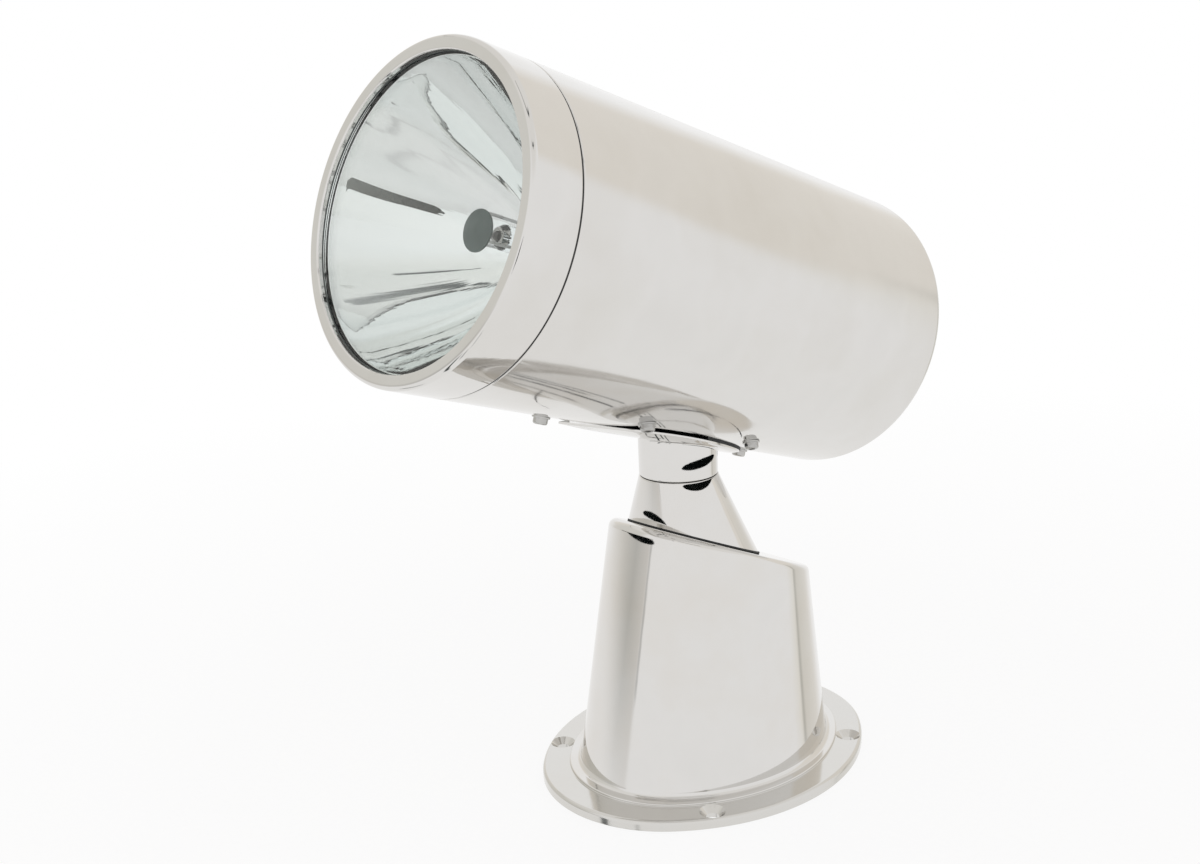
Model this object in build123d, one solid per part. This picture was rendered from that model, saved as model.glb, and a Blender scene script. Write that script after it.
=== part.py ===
"""A remote-controlled marine searchlight in polished stainless steel.

The lamp head is a round tube, pitched up on a short upright collar. The collar turns on
top of an oblique cone, and the cone turns on the sloping top of an oval pedestal. The two
turns together aim the head in any direction.

Lengths are in millimetres and angles in degrees. The origin is the middle of the mounting
face, +Z is up and the head's front faces -Y.
"""
import os
from math import acos, cos, pi, radians, sin, sqrt, tan

from build123d import *

os.makedirs("parts", exist_ok=True)

# Fits and clearances
running_fit = 0.05
slip_fit = 0.02
axial_play = 0.05
screw_clearance = 0.3
cover_clearance = 0.4

# How far a cutter, or the root of an added form, runs past a face
cut_over = 1.0
far_cut = 5.0

# Deck flange and its bolts
deck_pcd = 146.0
flange_end_w = 17.5
flange_side_w = 0.5
flange_a = deck_pcd / 2 + flange_end_w
flange_b = deck_pcd / 2 + flange_side_w
flange_t = 5.0
flange_edge = 1.4
deck_bolts = 4
deck_hole_r = 3.3
deck_sink_r = 6.2
deck_sink_angle = 45.0
deck_seal_gap = 4.0
deck_seal_w = 4.0
deck_seal_t = 2.0

# Pedestal, an oval at the foot and an oval on the sloping face
foot_a = 71.2
foot_b = 56.6
foot_step_w = 4.6
foot_step_h = 1.2
face_tilt = 23.0
face_height = 113.0
face_a = 55.5
face_b = 47.5
face_y = 7.0
face_round_r = 4.0
pedestal_wall = 4.0
face_wall = 6.0
chamber_a = 44.5
chamber_b = 43.0
chamber_y = 3.0
lower_chamber_h = 50.0
lower_chamber_draft = 12.0

# Turning cone between the pedestal and the neck
cone_y = -4.9
cone_r = 33.0
cone_edge = 0.6
cable_way_h = 20.0
neck_y = -14.0
neck_z = 150.0
neck_r = 19.0

# Lower spindle, square to the sloping face, and its bearing
spindle_r = 12.0
spindle_bore_r = 7.0
bush_wall = 3.0
bush_flange_r = 19.0
bush_flange_t = 2.0
bush_stand = 0.4
gear_gap = 0.5
face_seal_r = 28.0
face_seal_w = 2.4

# Upper spindle, upright in the collar
stem_r = 9.0
stem_bore_r = 5.5
stem_top = 45.0
stem_bush_wall = 3.0
stem_flange_t = 1.5
bush_step = 4.5
neck_seal_t = 0.85
neck_seal_in = 4.0
neck_seal_edge = 0.7
neck_gap = 1.0

# Gears of both drives
gear_module = 1.0
pressure_angle = 20.0
tilt_teeth = 60
pan_teeth = 48
pinion_teeth = 18
gear_w = 6.0
pan_gear_w = 5.0
pinion_inset = 0.25
tooth_backlash = 0.24
lock_nut_t = 4.0
lock_nut_wall = 4.0

# Gearmotors and their brackets
motor_nose_r = 4.5
motor_nose_h = 2.5
motor_shaft_r = 3.0
motor_shaft_grip = 8.0
gearbox_r = 12.5
gearbox_l = 20.0
motor_r = 11.0
motor_l = 26.0
bracket_t = 3.0
pillar_r = 4.0
pillar_space = 3.0
pillar_gap = 11.0
tilt_pad_spread = 35.0
pan_pad_spread = 48.0
bracket_pad_r = 6.0

# Small screws
m3_r = 1.5
m3_head_r = 3.0
m3_head_h = 2.4
m3_low_head_h = 0.7
m3_grip = 6.0
m5_r = 2.4
m5_head_r = 4.0
m5_head_h = 4.5
m5_washer_r = 4.7
m5_washer_t = 0.8

# Head tube, bezel and lens
head_pitch = 18.0
tube_r = 70.0
tube_l = 272.5
tube_under_z = 16.8
head_height = tube_under_z + tube_r / cos(radians(head_pitch))
head_balance = 0.56
head_front = head_balance * tube_l
tube_wall = 2.0
tube_corner_r = 4.0
spigot_root_l = 6.0
bezel_l = 24.6
bezel_lip = 6.3
bezel_lip_t = 2.4
bezel_edge_r = 2.2
bezel_inner_edge = 1.0
bezel_wall = 2.7
joint_ring_t = 0.8
joint_ring_inset = 0.35
spigot_wall = 2.0
lens_t = 4.0
lens_edge_w = 4.5
lens_r = tube_r - lens_edge_w
lens_lip_w = 1.9
lens_lip_t = 0.6

# Reflector, a paraboloid
focal_length = 15.5
reflector_edge_w = 7.0
reflector_r = tube_r - reflector_edge_w
reflector_t = 1.4
reflector_rim_t = 1.0
reflector_rim_seat = 1.5
reflector_roll_w = 0.8
reflector_neck_r = 13.0
reflector_neck_l = 6.0
reflector_steps = 6

# Lamp, its holder and the shield in front of it
bulb_r = 5.6
bulb_l = 27.0
bulb_tip_l = 3.5
bulb_tip_r = 3.1
bulb_tip_h = 0.6
bulb_neck_l = 1.5
bulb_stem_r = 3.2
bulb_stem_l = 3.0
bulb_grip = 6.0
holder_r = 12.5
holder_l = 21.5
holder_flange_r = 15.0
holder_flange_t = 3.5
shield_r = 9.0
shield_t = 1.2
shield_bow = 1.4
shield_gap = 11.34
shield_leg_r = 0.7
shield_leg_circle = 7.6
post_t = 2.5
post_w = 32.0
post_foot_l = 16.0
post_foot_t = 5.0
post_rise = 3.0
post_screw_pitch = 19.2
post_screw_in = 9.9
post_screw_tip = 1.5

# Collar, its saddle under the tube and the chassis inside
saddle_t = 1.8
saddle_gasket_t = 1.0
saddle_share = 0.22
saddle_a = saddle_share * tube_l
saddle_b = 22.0
saddle_set_back = 4.4
saddle_s = head_front + saddle_set_back
collar_boss_r = 14.0
collar_boss_root = 2.0
collar_boss_top = 34.0
seat_z = 29.5
seat_r = 21.0
chassis_t = 3.0
chassis_end_w = 26.0
chassis_set_back = 5.0
chassis_s = saddle_s + chassis_set_back
chassis_a = saddle_a + chassis_end_w
chassis_b = 34.0
pillar_root = 20.0
front_tip_gap = 10.7
back_tip_gap = 5.3
side_screw_front = 32.0
side_screw_back = 41.0
tip_screw_s = (saddle_s - saddle_a - front_tip_gap, saddle_s + saddle_a + back_tip_gap)
side_screw_s = (saddle_s - side_screw_front, saddle_s + side_screw_back)
side_screw_angle = 22.0

# Ballast at the back of the head
ballast_w = 50.0
ballast_h = 26.0
ballast_set_back = 77.4
ballast_gap = 0.95
ballast_end_gap = 3.5
ballast_rib_h = 3.0
ballast_rib_w = 2.0
ballast_ribs = 7
pad_inner_x = 12.0
pad_outer_x = 20.0
pad_l = 12.0
pad_set_back = 3.0

# Bottom plate, cable inlet and control board
plate_t = 2.0
plate_inset = 0.8
plate_boss_r = 4.5
plate_boss_side = 18.6
plate_boss_share = 0.534
plate_boss_x = foot_b - plate_boss_side
plate_boss_y = plate_boss_share * foot_a
plate_boss_top = 16.0
plate_screw_l = 8.0
grommet_end = 19.2
grommet_y = foot_a - grommet_end
grommet_bore_r = 3.5
grommet_r = 7.0
grommet_neck_r = 5.0
grommet_l = 8.0
grommet_lift = 0.1
board_w = 58.0
board_end = 31.2
board_l = 2 * (foot_a - board_end)
board_t = 1.6
board_inset = 4.0
relay_w = 15.0
relay_l = 12.0
relay_h = 9.0
relay_x = -14.5
relay_y = -15.0
relay_pitch = 18.0
capacitor_r = 4.5
capacitor_h = 10.0
capacitor_x = 12.0
capacitor_y = -20.0
capacitor_pitch = 12.0
sink_x = 1.0
sink_y = -8.0
sink_l = 20.0
sink_fins = 5
fin_pitch = 4.0
fin_t = 1.2
sink_base_h = 2.0
sink_fin_h = 8.0
terminal_w = 40.0
terminal_l = 8.0
terminal_h = 7.0
terminal_y = 26.0
spacer_r = 2.9
spacer_l = 8.0
spacer_pin_r = 1.4
spacer_pin_l = 1.2

# Values worked out from the sizes above
slope = tan(radians(face_tilt))
pan_centres = gear_module * (pan_teeth + pinion_teeth) / 2
tilt_centres = gear_module * (tilt_teeth + pinion_teeth) / 2
cone_base = bush_stand + axial_play
tilt_gear_top = -face_wall - gear_gap
tilt_gear_low = tilt_gear_top - gear_w
spindle_end = tilt_gear_low - lock_nut_t - 1.0
bracket_top = -face_wall - pillar_gap
bush_r = spindle_r + bush_wall
stem_bush_r = stem_r + stem_bush_wall
bush_top = collar_boss_top + stem_flange_t
pan_gear_low = bush_top + axial_play
pan_gear_top = pan_gear_low + pan_gear_w
pan_bracket_low = stem_top + 1.0
saddle_r = tube_r + saddle_gasket_t
tube_bore_r = tube_r - tube_wall
chassis_bore_r = tube_bore_r - slip_fit - chassis_t
post_foot_y = chassis_bore_r - post_foot_t
chassis_r = tube_bore_r - slip_fit
joint_s = bezel_l + joint_ring_t
lens_front_s = bezel_lip_t + lens_lip_t
lens_back_s = lens_front_s + lens_t
rim_s = lens_back_s + slip_fit
spigot_s = rim_s + reflector_rim_t
spigot_r = tube_r - bezel_wall - slip_fit
vertex_s = rim_s + 0.5 + reflector_r ** 2 / (4 * focal_length)
neck_s = vertex_s - reflector_neck_r ** 2 / (4 * focal_length)
holder_s = neck_s
holder_end = holder_s + holder_l
bulb_tip_s = holder_s - bulb_l + bulb_tip_l
shield_s = bulb_tip_s - shield_gap
ballast_s = head_front + ballast_set_back
ballast_end = tube_l - tube_wall - ballast_end_gap
ballast_low = sqrt(chassis_bore_r ** 2 - (ballast_w / 2) ** 2) - ballast_gap


def face_z(y):
    """Height of the sloping face above a point on the Y axis."""
    return face_height - slope * y


face_normal = (0, sin(radians(face_tilt)), cos(radians(face_tilt)))
face_frame = Plane(origin=(0, face_y, face_z(face_y)), x_dir=(1, 0, 0), z_dir=face_normal)
tilt_frame = Plane(origin=(0, cone_y, face_z(cone_y)), x_dir=(1, 0, 0), z_dir=face_normal)
pan_frame = Plane(origin=(0, neck_y, neck_z), x_dir=(1, 0, 0), z_dir=(0, 0, 1))
pitch = radians(head_pitch)
front_centre = (
    0,
    neck_y - head_front * cos(pitch),
    neck_z + head_height + head_front * sin(pitch),
)
# In the head's own frame Z runs back from the front face and Y points down
head_frame = Plane(origin=front_centre, x_dir=(1, 0, 0), z_dir=(0, cos(pitch), -sin(pitch)))


def disc(radius, low, high, x=0, y=0):
    """Upright cylinder between two heights."""
    return extrude(Pos(x, y, low) * Circle(radius), high - low)


def ring(inner, outer, low, high, x=0, y=0):
    """Upright tube between two heights."""
    return extrude(Pos(x, y, low) * (Circle(outer) - Circle(inner)), high - low)


def oval(a, b, grow=0.0):
    """Oval face of four arcs that meet at 45 degrees, a along Y and b along X."""
    s = sin(radians(45))
    c = 1 - s
    end_r = (s * b - c * a) / (s * s - c * c)
    middle = a - end_r
    x = (end_r + grow) * s
    y = middle + (end_r + grow) * s
    a += grow
    b += grow
    return make_face([
        ThreePointArc((x, y), (0, a), (-x, y)),
        ThreePointArc((-x, y), (-b, 0), (-x, -y)),
        ThreePointArc((-x, -y), (0, -a), (x, -y)),
        ThreePointArc((x, -y), (b, 0), (x, y)),
    ])


def oval_plate(a, b, grow, low, high):
    """Upright oval prism between two heights."""
    return extrude(Pos(0, 0, low) * oval(a, b, grow), high - low)


def box(x, y, z):
    """Box between two corners, each given as a low and a high value."""
    size = (x[1] - x[0], y[1] - y[0], z[1] - z[0])
    return Pos(sum(x) / 2, sum(y) / 2, sum(z) / 2) * Box(*size)


def turned(points):
    """Body turned about Z from an outline of (radius, height) points."""
    outline = Polyline(*[(r, 0, z) for r, z in points], close=True)
    return revolve(make_face(outline), Axis.Z)


def top_edges(body):
    """Edges of the highest flat face."""
    return body.faces().sort_by(Axis.Z)[-1].edges()


def put(frame, body):
    """Move a body from a local frame to the part's frame."""
    return frame.location * body


def head_cylinder(radius):
    """Solid cylinder on the head's axis, long enough to cut or trim with."""
    return put(head_frame, disc(radius, 0, tube_l))


def in_head(body):
    """Move a body from the part's frame to the head's frame."""
    return head_frame.location.inverse() * body


def pan_in_head(body):
    """Move a body from the collar's frame to the head's frame."""
    return in_head(put(pan_frame, body))


def involute_angle(radius, base):
    """Angle by which an involute has unrolled at a radius."""
    if radius <= base:
        return 0.0
    turn = acos(base / radius)
    return tan(turn) - turn


def spur_gear(teeth, width, bore):
    """Involute gear on the XY plane with a tooth centred on +X."""
    pitch_r = gear_module * teeth / 2
    base_r = pitch_r * cos(radians(pressure_angle))
    root_r = pitch_r - 1.25 * gear_module
    tip_r = pitch_r + gear_module
    half_tooth = (pi * gear_module / 2 - tooth_backlash / 2) / (2 * pitch_r)
    half_base = half_tooth + involute_angle(pitch_r, base_r)
    flank = [root_r, pitch_r, tip_r]
    points = []
    for tooth in range(teeth):
        middle = 2 * pi * tooth / teeth
        for side, radii in ((-1, flank), (1, flank[::-1])):
            for radius in radii:
                angle = middle + side * (half_base - involute_angle(radius, base_r))
                points.append((radius * cos(angle), radius * sin(angle)))
    blank = make_face(Polyline(*points, close=True))
    return extrude(blank - Circle(bore) if bore else blank, width)


def pinion(width, shaft):
    """Small gear with its shaft standing on the upper side."""
    return spur_gear(pinion_teeth, width, 0) + disc(motor_shaft_r, width, width + shaft)


def hex_screw(head_h, length):
    """M3 hexagon screw, its head on Z = 0 and its shank below."""
    return extrude(RegularPolygon(m3_head_r, 6), head_h) + disc(m3_r, -length, 0)


def cap_screw(length):
    """M5 cap screw with its washer, seated on Z = 0."""
    top = m5_washer_t + m5_head_h
    body = disc(m5_washer_r, 0, m5_washer_t) + disc(m5_head_r, m5_washer_t, top)
    return body + disc(m5_r, -length, 0)


def gearmotor():
    """Geared motor on Z = 0, its nose below the mounting face and its shaft bore in it."""
    body = disc(motor_nose_r, -motor_nose_h, 0)
    body += disc(gearbox_r, 0, gearbox_l)
    body += disc(motor_r, gearbox_l, gearbox_l + motor_l)
    return body - disc(motor_shaft_r + running_fit, -motor_nose_h, motor_shaft_grip + cut_over)


def hex_nut(bore, wall, thickness):
    """Hexagon lock nut with its lower face on Z = 0."""
    across = RegularPolygon(bore + wall, 6, major_radius=False)
    return extrude(across - Circle(bore), thickness)


def pedestal_form():
    """Loft from the foot oval to the oval on the sloping face."""
    return loft([oval(foot_a, foot_b).face(), (face_frame * oval(face_a, face_b)).face()])


def pedestal_chambers():
    """Straight chamber under the sloping wall and a wider drafted one at the foot."""
    upper = extrude(Pos(0, chamber_y) * oval(chamber_a, chamber_b), 2 * face_height)
    above = Pos(0, 0, face_height) * Box(4 * foot_a, 4 * foot_a, 2 * face_height)
    upper -= put(face_frame.offset(-face_wall), above)
    lower = extrude(oval(foot_a, foot_b, -pedestal_wall).face(), lower_chamber_h,
                    taper=lower_chamber_draft)
    return upper + lower


def bracket_pads(teeth, spread):
    """Three pillar places round a gear at the origin and its pinion on +Y."""
    clear = gear_module + pillar_r + pillar_space
    reach = gear_module * teeth / 2 + clear
    back = gear_module * (teeth + pinion_teeth) / 2 + gear_module * pinion_teeth / 2 + clear
    x = reach * sin(radians(spread))
    y = reach * cos(radians(spread))
    return [(-x, y), (x, y), (0, back)]


def tilt_pads():
    """Places of the lower bracket's pillars, in the sloping frame."""
    return bracket_pads(tilt_teeth, tilt_pad_spread)


def pan_pads():
    """Places of the upper bracket's pillars, in the collar's frame."""
    return bracket_pads(pan_teeth, pan_pad_spread)


def bracket(pads, centre):
    """Flat bracket over three pillars, on Z = 0, with a hole for the motor's nose."""
    outline = make_hull([e for x, y in pads for e in (Pos(x, y) * Circle(bracket_pad_r)).edges()])
    plate = extrude(outline, bracket_t)
    plate -= disc(motor_nose_r + slip_fit, 0, bracket_t, 0, centre)
    for x, y in pads:
        plate -= disc(m3_r + screw_clearance, 0, bracket_t, x, y)
    return plate


def plate_bosses():
    """Places of the bosses that carry the bottom plate."""
    return [(x * plate_boss_x, y * plate_boss_y) for x in (-1, 1) for y in (-1, 1)]


def board_corners():
    """Places of the board's standoffs."""
    x = board_w / 2 - board_inset
    y = board_l / 2 - board_inset
    return [(-x, -y), (x, -y), (-x, y), (x, y)]


def deck_groove(gap):
    """Oval ring of the deck seal, narrower by a gap on either side."""
    inner = deck_seal_gap - pedestal_wall
    outline = oval(foot_a, foot_b, inner + deck_seal_w - gap) - oval(foot_a, foot_b, inner + gap)
    return extrude(outline, deck_seal_t - gap)


def make_base_casting():
    """Flange, stepped foot and pedestal as one hollow casting."""
    pedestal = pedestal_form()
    rim = [e for e in pedestal.edges() if abs(face_frame.to_local_coords(e @ 0.3).Z) < 0.01
           and abs(face_frame.to_local_coords(e @ 0.8).Z) < 0.01]
    flange = oval_plate(flange_a, flange_b, 0, 0, flange_t)
    step = oval_plate(foot_a, foot_b, foot_step_w, 0, flange_t + foot_step_h)
    casting = fillet(rim, face_round_r)
    casting += chamfer(top_edges(flange), flange_edge)
    casting += chamfer(top_edges(step), 0.6 * foot_step_h)
    casting -= pedestal_chambers()
    for x, y in plate_bosses():
        casting += disc(plate_boss_r, plate_inset + plate_t, plate_boss_top, x, y)
        casting -= disc(m3_r + slip_fit, 0, plate_inset + plate_t + plate_screw_l, x, y)
    for x, y in tilt_pads():
        pillar = disc(pillar_r, bracket_top, -0.5 * face_wall, x, y)
        pillar -= disc(m3_r + slip_fit, bracket_top, bracket_top + m3_grip, x, y)
        casting += put(tilt_frame, pillar)
    bore = disc(bush_r + slip_fit, -face_wall - cut_over, cut_over)
    bore += disc(bush_flange_r + slip_fit, bush_stand - bush_flange_t, far_cut)
    casting -= put(tilt_frame, bore)
    sink_h = (deck_sink_r - deck_hole_r) / tan(radians(deck_sink_angle))
    for place in PolarLocations(deck_pcd / 2, deck_bolts, 45):
        hole = disc(deck_hole_r, -cut_over, flange_t + cut_over)
        hole += Pos(0, 0, flange_t - sink_h / 2) * Cone(deck_hole_r, deck_sink_r, sink_h)
        hole += disc(deck_sink_r, flange_t, flange_t + cut_over)
        casting -= place * hole
    return casting - deck_groove(0.0)


def make_deck_seal():
    """Oval rubber seal that lies flush in the flange's groove."""
    return deck_groove(slip_fit)


def make_bottom_plate():
    """Oval plate that closes the pedestal from below."""
    gap = pedestal_wall + cover_clearance + plate_inset
    plate = oval_plate(foot_a, foot_b, -gap, plate_inset, plate_inset + plate_t)
    for x, y in plate_bosses():
        plate -= disc(m3_r + screw_clearance, 0, plate_inset + plate_t, x, y)
    return plate - disc(grommet_neck_r + slip_fit, 0, plate_inset + plate_t, 0, grommet_y)


def make_plate_screws():
    """Screws of the bottom plate, with thin heads below it."""
    screw = Rot(180, 0, 0) * hex_screw(m3_low_head_h, plate_t + plate_screw_l)
    group = Part()
    for x, y in plate_bosses():
        group += Pos(x, y, plate_inset) * screw
    return group


def make_cable_grommet():
    """Rubber grommet in the bottom plate, the inlet for the supply cable."""
    low = grommet_lift
    plate_top = plate_inset + plate_t
    body = disc(grommet_r, low, plate_inset, 0, grommet_y)
    body += disc(grommet_neck_r, plate_inset, plate_top, 0, grommet_y)
    body += disc(grommet_r, plate_top, low + grommet_l, 0, grommet_y)
    return body - disc(grommet_bore_r, low, low + grommet_l, 0, grommet_y)


def make_board_spacers():
    """Plastic spacers that stand on the bottom plate, with pins through the board."""
    low = plate_inset + plate_t
    top = low + spacer_l + board_t + spacer_pin_l
    group = Part()
    for x, y in board_corners():
        post = extrude(Pos(x, y, low) * RegularPolygon(spacer_r, 6), spacer_l)
        group += post + disc(spacer_pin_r, low + spacer_l, top, x, y)
    return group


def make_control_board():
    """Circuit board with its relays, heat sink, capacitors and terminals."""
    low = plate_inset + plate_t + spacer_l
    top = low + board_t
    board = box((-board_w / 2, board_w / 2), (-board_l / 2, board_l / 2), (low, top))
    for x, y in board_corners():
        board -= disc(spacer_pin_r + slip_fit, low, top, x, y)
    for side in (-0.5, 0.5):
        relay = Box(relay_w, relay_l, relay_h)
        board += Pos(relay_x, relay_y + side * relay_pitch, top + relay_h / 2) * relay
        x = capacitor_x + side * capacitor_pitch
        board += disc(capacitor_r, top, top + capacitor_h, x, capacitor_y)
    sink = (sink_y, sink_y + sink_l)
    sink_w = (sink_fins - 1) * fin_pitch + fin_t
    board += box((sink_x, sink_x + sink_w), sink, (top, top + sink_base_h))
    for fin in range(sink_fins):
        x = sink_x + fin_pitch * fin
        board += box((x, x + fin_t), sink, (top + sink_base_h, top + sink_fin_h))
    terminals = Box(terminal_w, terminal_l, terminal_h)
    return board + Pos(0, terminal_y, top + terminal_h / 2) * terminals


def make_face_bush():
    """Flanged bearing bush in the pedestal's sloping face."""
    low = bush_stand - bush_flange_t
    flange = ring(spindle_r + running_fit, bush_flange_r, low, bush_stand)
    return put(tilt_frame, flange + ring(spindle_r + running_fit, bush_r, -face_wall, low))


def make_tilt_bracket():
    """Bracket that holds the lower gearmotor under the large gear."""
    plate = bracket(tilt_pads(), tilt_centres)
    return put(tilt_frame.offset(bracket_top - bracket_t), plate)


def make_tilt_motor():
    """Lower gearmotor, hung under its bracket."""
    motor = Pos(0, tilt_centres, bracket_top - bracket_t) * Rot(180, 0, 0) * gearmotor()
    return put(tilt_frame, motor)


def make_tilt_screws():
    """Three screws of the lower bracket."""
    screw = Rot(180, 0, 0) * hex_screw(m3_head_h, bracket_t + m3_grip)
    group = Part()
    for x, y in tilt_pads():
        group += Pos(x, y, bracket_top - bracket_t) * screw
    return put(tilt_frame, group)


def make_tilt_pinion():
    """Pinion of the lower drive, its shaft in the motor."""
    width = gear_w - 2 * pinion_inset
    shaft = tilt_gear_low + pinion_inset - bracket_top + bracket_t + motor_shaft_grip
    top = tilt_gear_top - pinion_inset
    return put(tilt_frame, Pos(0, tilt_centres, top) * Rot(180, 0, 0) * pinion(width, shaft))


def make_turning_cone():
    """Oblique cone with a spindle below, a stem above and a cable way through all."""
    base = tilt_frame.offset(cone_base) * Circle(cone_r)
    top = pan_frame * Circle(neck_r)
    cone = loft([base.face(), top.face()])
    foot = [e for e in cone.edges() if abs(tilt_frame.to_local_coords(e @ 0.2).Z - cone_base) < 0.01
            and abs(tilt_frame.to_local_coords(e @ 0.7).Z - cone_base) < 0.01]
    cone = chamfer(foot, cone_edge)
    cone += put(tilt_frame, disc(spindle_r, spindle_end, cone_base + cut_over))
    cone += put(pan_frame, disc(stem_r, -cut_over, stem_top))
    cone -= put(tilt_frame, disc(spindle_bore_r, spindle_end, cone_base + cable_way_h))
    cone -= put(pan_frame, disc(stem_bore_r, -cable_way_h, stem_top))
    groove = ring(face_seal_r - face_seal_w / 2 - slip_fit, face_seal_r + face_seal_w / 2 + slip_fit,
                  cone_base, cone_base + face_seal_w)
    return cone - put(tilt_frame, groove)


def make_face_seal():
    """Rubber ring under the cone that wipes the sloping face."""
    seal = ring(face_seal_r - face_seal_w / 2, face_seal_r + face_seal_w / 2,
                axial_play, cone_base + face_seal_w - slip_fit)
    return put(tilt_frame, seal)


def make_tilt_gear():
    """Large gear on the lower spindle."""
    gear = spur_gear(tilt_teeth, gear_w, spindle_r + slip_fit)
    return put(tilt_frame.offset(tilt_gear_low), gear)


def make_spindle_nut():
    """Lock nut that holds the large gear on the spindle."""
    nut = hex_nut(spindle_r + slip_fit, lock_nut_wall, lock_nut_t)
    return put(tilt_frame.offset(tilt_gear_low - lock_nut_t), nut)


def make_neck_seal():
    """Thin rubber ring in the seam under the collar."""
    seal = ring(neck_r - neck_seal_in, neck_r - neck_seal_edge, 0, neck_seal_t)
    return put(pan_frame, seal)


def make_pan_gear():
    """Gear fixed on the stem, inside the head."""
    gear = spur_gear(pan_teeth, pan_gear_w, stem_r + slip_fit)
    return put(pan_frame.offset(pan_gear_low), gear)


def make_stem_nut():
    """Lock nut on top of the stem."""
    nut = hex_nut(stem_r + slip_fit, lock_nut_wall, lock_nut_t)
    return put(pan_frame.offset(pan_gear_top), nut)


def saddle_form(inner, outer, grow=0.0):
    """Oval stretch of a cylinder's wall, along the underside of the head."""
    shell = ring(inner, outer, 0, tube_l)
    oval = Plane.XZ * (Pos(0, saddle_s) * Ellipse(saddle_b + grow, saddle_a + grow))
    return shell & extrude(oval, -2 * tube_r)


def make_neck_collar():
    """Upright collar with a curved saddle that carries the head."""
    round_part = disc(neck_r, neck_gap, head_height)
    collar = put(pan_frame, round_part) - head_cylinder(saddle_r)
    collar = Compound(collar.solids().sort_by(Axis.Z)[:1])
    collar += put(head_frame, saddle_form(saddle_r, saddle_r + saddle_t))
    collar += put(pan_frame, disc(collar_boss_r, neck_gap + collar_boss_root, collar_boss_top))
    bore = disc(stem_bush_r + slip_fit, 0, collar_boss_top)
    bore += disc(neck_r - bush_step, 0, stem_flange_t)
    return collar - put(pan_frame, bore)


def make_collar_bush():
    """Bearing bush of the collar, flanged below and standing proud for the gear."""
    bore = stem_r + running_fit
    flange = ring(bore, neck_r - bush_step - slip_fit, axial_play, stem_flange_t)
    return put(pan_frame, flange + ring(bore, stem_bush_r, stem_flange_t, bush_top))


def make_saddle_gasket():
    """Thin black gasket between the saddle and the tube."""
    gasket = saddle_form(tube_r + slip_fit, saddle_r - slip_fit)
    hole = disc(collar_boss_r + cover_clearance, 0, collar_boss_top)
    return put(head_frame, gasket) - put(pan_frame, hole)


def chassis_screw_places():
    """Head-frame place and turn of each chassis screw: distance back and angle from below."""
    sides = [(s, turn * side_screw_angle) for s in side_screw_s for turn in (-1, 1)]
    return [(s, 0.0) for s in tip_screw_s] + sides


def on_tube(s, angle, body):
    """Stand a body on the tube's outside, its Z axis pointing away from the tube's axis."""
    return Pos(0, 0, s) * Rot(0, 0, angle) * Pos(0, tube_r, 0) * Rot(-90, 0, 0) * body


def make_head_tube():
    """Drawn tube with a closed back and a spigot for the bezel."""
    body = turned([(0, joint_s), (tube_r, joint_s), (tube_r, tube_l), (0, tube_l)])
    body = fillet(top_edges(body), tube_corner_r)
    body += disc(spigot_r, spigot_s, joint_s + cut_over)
    body -= disc(tube_bore_r, joint_s + spigot_root_l, tube_l - tube_wall)
    body -= disc(spigot_r - spigot_wall, spigot_s, joint_s + spigot_root_l + cut_over)
    for s, angle in chassis_screw_places():
        body -= on_tube(s, angle, disc(m5_r + screw_clearance, -2 * far_cut, far_cut))
    body = put(head_frame, body)
    return body - put(pan_frame, disc(collar_boss_r + cover_clearance, 0, seat_z))


def make_bezel_ring():
    """Front ring that clamps the lens on the tube."""
    mouth = tube_r - bezel_lip
    sleeve = tube_r - bezel_wall
    body = turned([(mouth, 0), (tube_r, 0), (tube_r, bezel_l), (sleeve, bezel_l),
                   (sleeve, bezel_lip_t), (mouth, bezel_lip_t)])
    front = body.faces().sort_by(Axis.Z)[0].edges().sort_by(SortBy.LENGTH)
    body = fillet(front[-1], bezel_edge_r)
    front = body.faces().sort_by(Axis.Z)[0].edges().sort_by(SortBy.LENGTH)
    return put(head_frame, chamfer(front[0], bezel_inner_edge))


def make_joint_ring():
    """Black sealing ring in the seam between the bezel and the tube."""
    outer = tube_r - joint_ring_inset
    seal = ring(spigot_r + slip_fit, outer, bezel_l + slip_fit, joint_s - slip_fit)
    return put(head_frame, seal)


def make_lens_gasket():
    """Flat rubber gasket between the bezel's lip and the lens."""
    return put(head_frame, ring(lens_r - lens_lip_w, lens_r, bezel_lip_t, lens_front_s))


def make_lens_glass():
    """Flat toughened front glass."""
    glass = disc(lens_r - slip_fit, lens_front_s + slip_fit, lens_back_s - slip_fit)
    return put(head_frame, glass)


def parabola(shift):
    """Points of the parabola from the neck to the mouth, as (radius, height)."""
    width = reflector_r - reflector_neck_r
    radii = [reflector_neck_r + width * k / reflector_steps for k in range(reflector_steps + 1)]
    return [(r, vertex_s + shift - r ** 2 / (4 * focal_length)) for r in radii]


def make_reflector():
    """Spun paraboloid with a rolled rim in front and a neck for the lamp behind."""
    inner = parabola(0)
    outer = parabola(reflector_t)
    rim = spigot_r - spigot_wall + reflector_rim_seat
    neck_end = neck_s + reflector_neck_l
    wall = reflector_neck_r + reflector_t
    outline = inner + [(reflector_r, rim_s), (rim, rim_s), (rim, spigot_s)]
    outline += [(reflector_r + reflector_roll_w, spigot_s)] + outer[::-1]
    outline += [(wall, outer[0][1]), (wall, neck_end), (reflector_neck_r, neck_end)]
    return put(head_frame, turned(outline))


def make_lamp_holder():
    """Ceramic lamp holder, from the reflector's neck to behind the post."""
    body = disc(holder_r, holder_s, holder_end)
    body += disc(holder_flange_r, holder_end, holder_end + holder_flange_t)
    return put(head_frame, body - disc(bulb_stem_r + slip_fit, holder_s, holder_s + bulb_grip))


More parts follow.
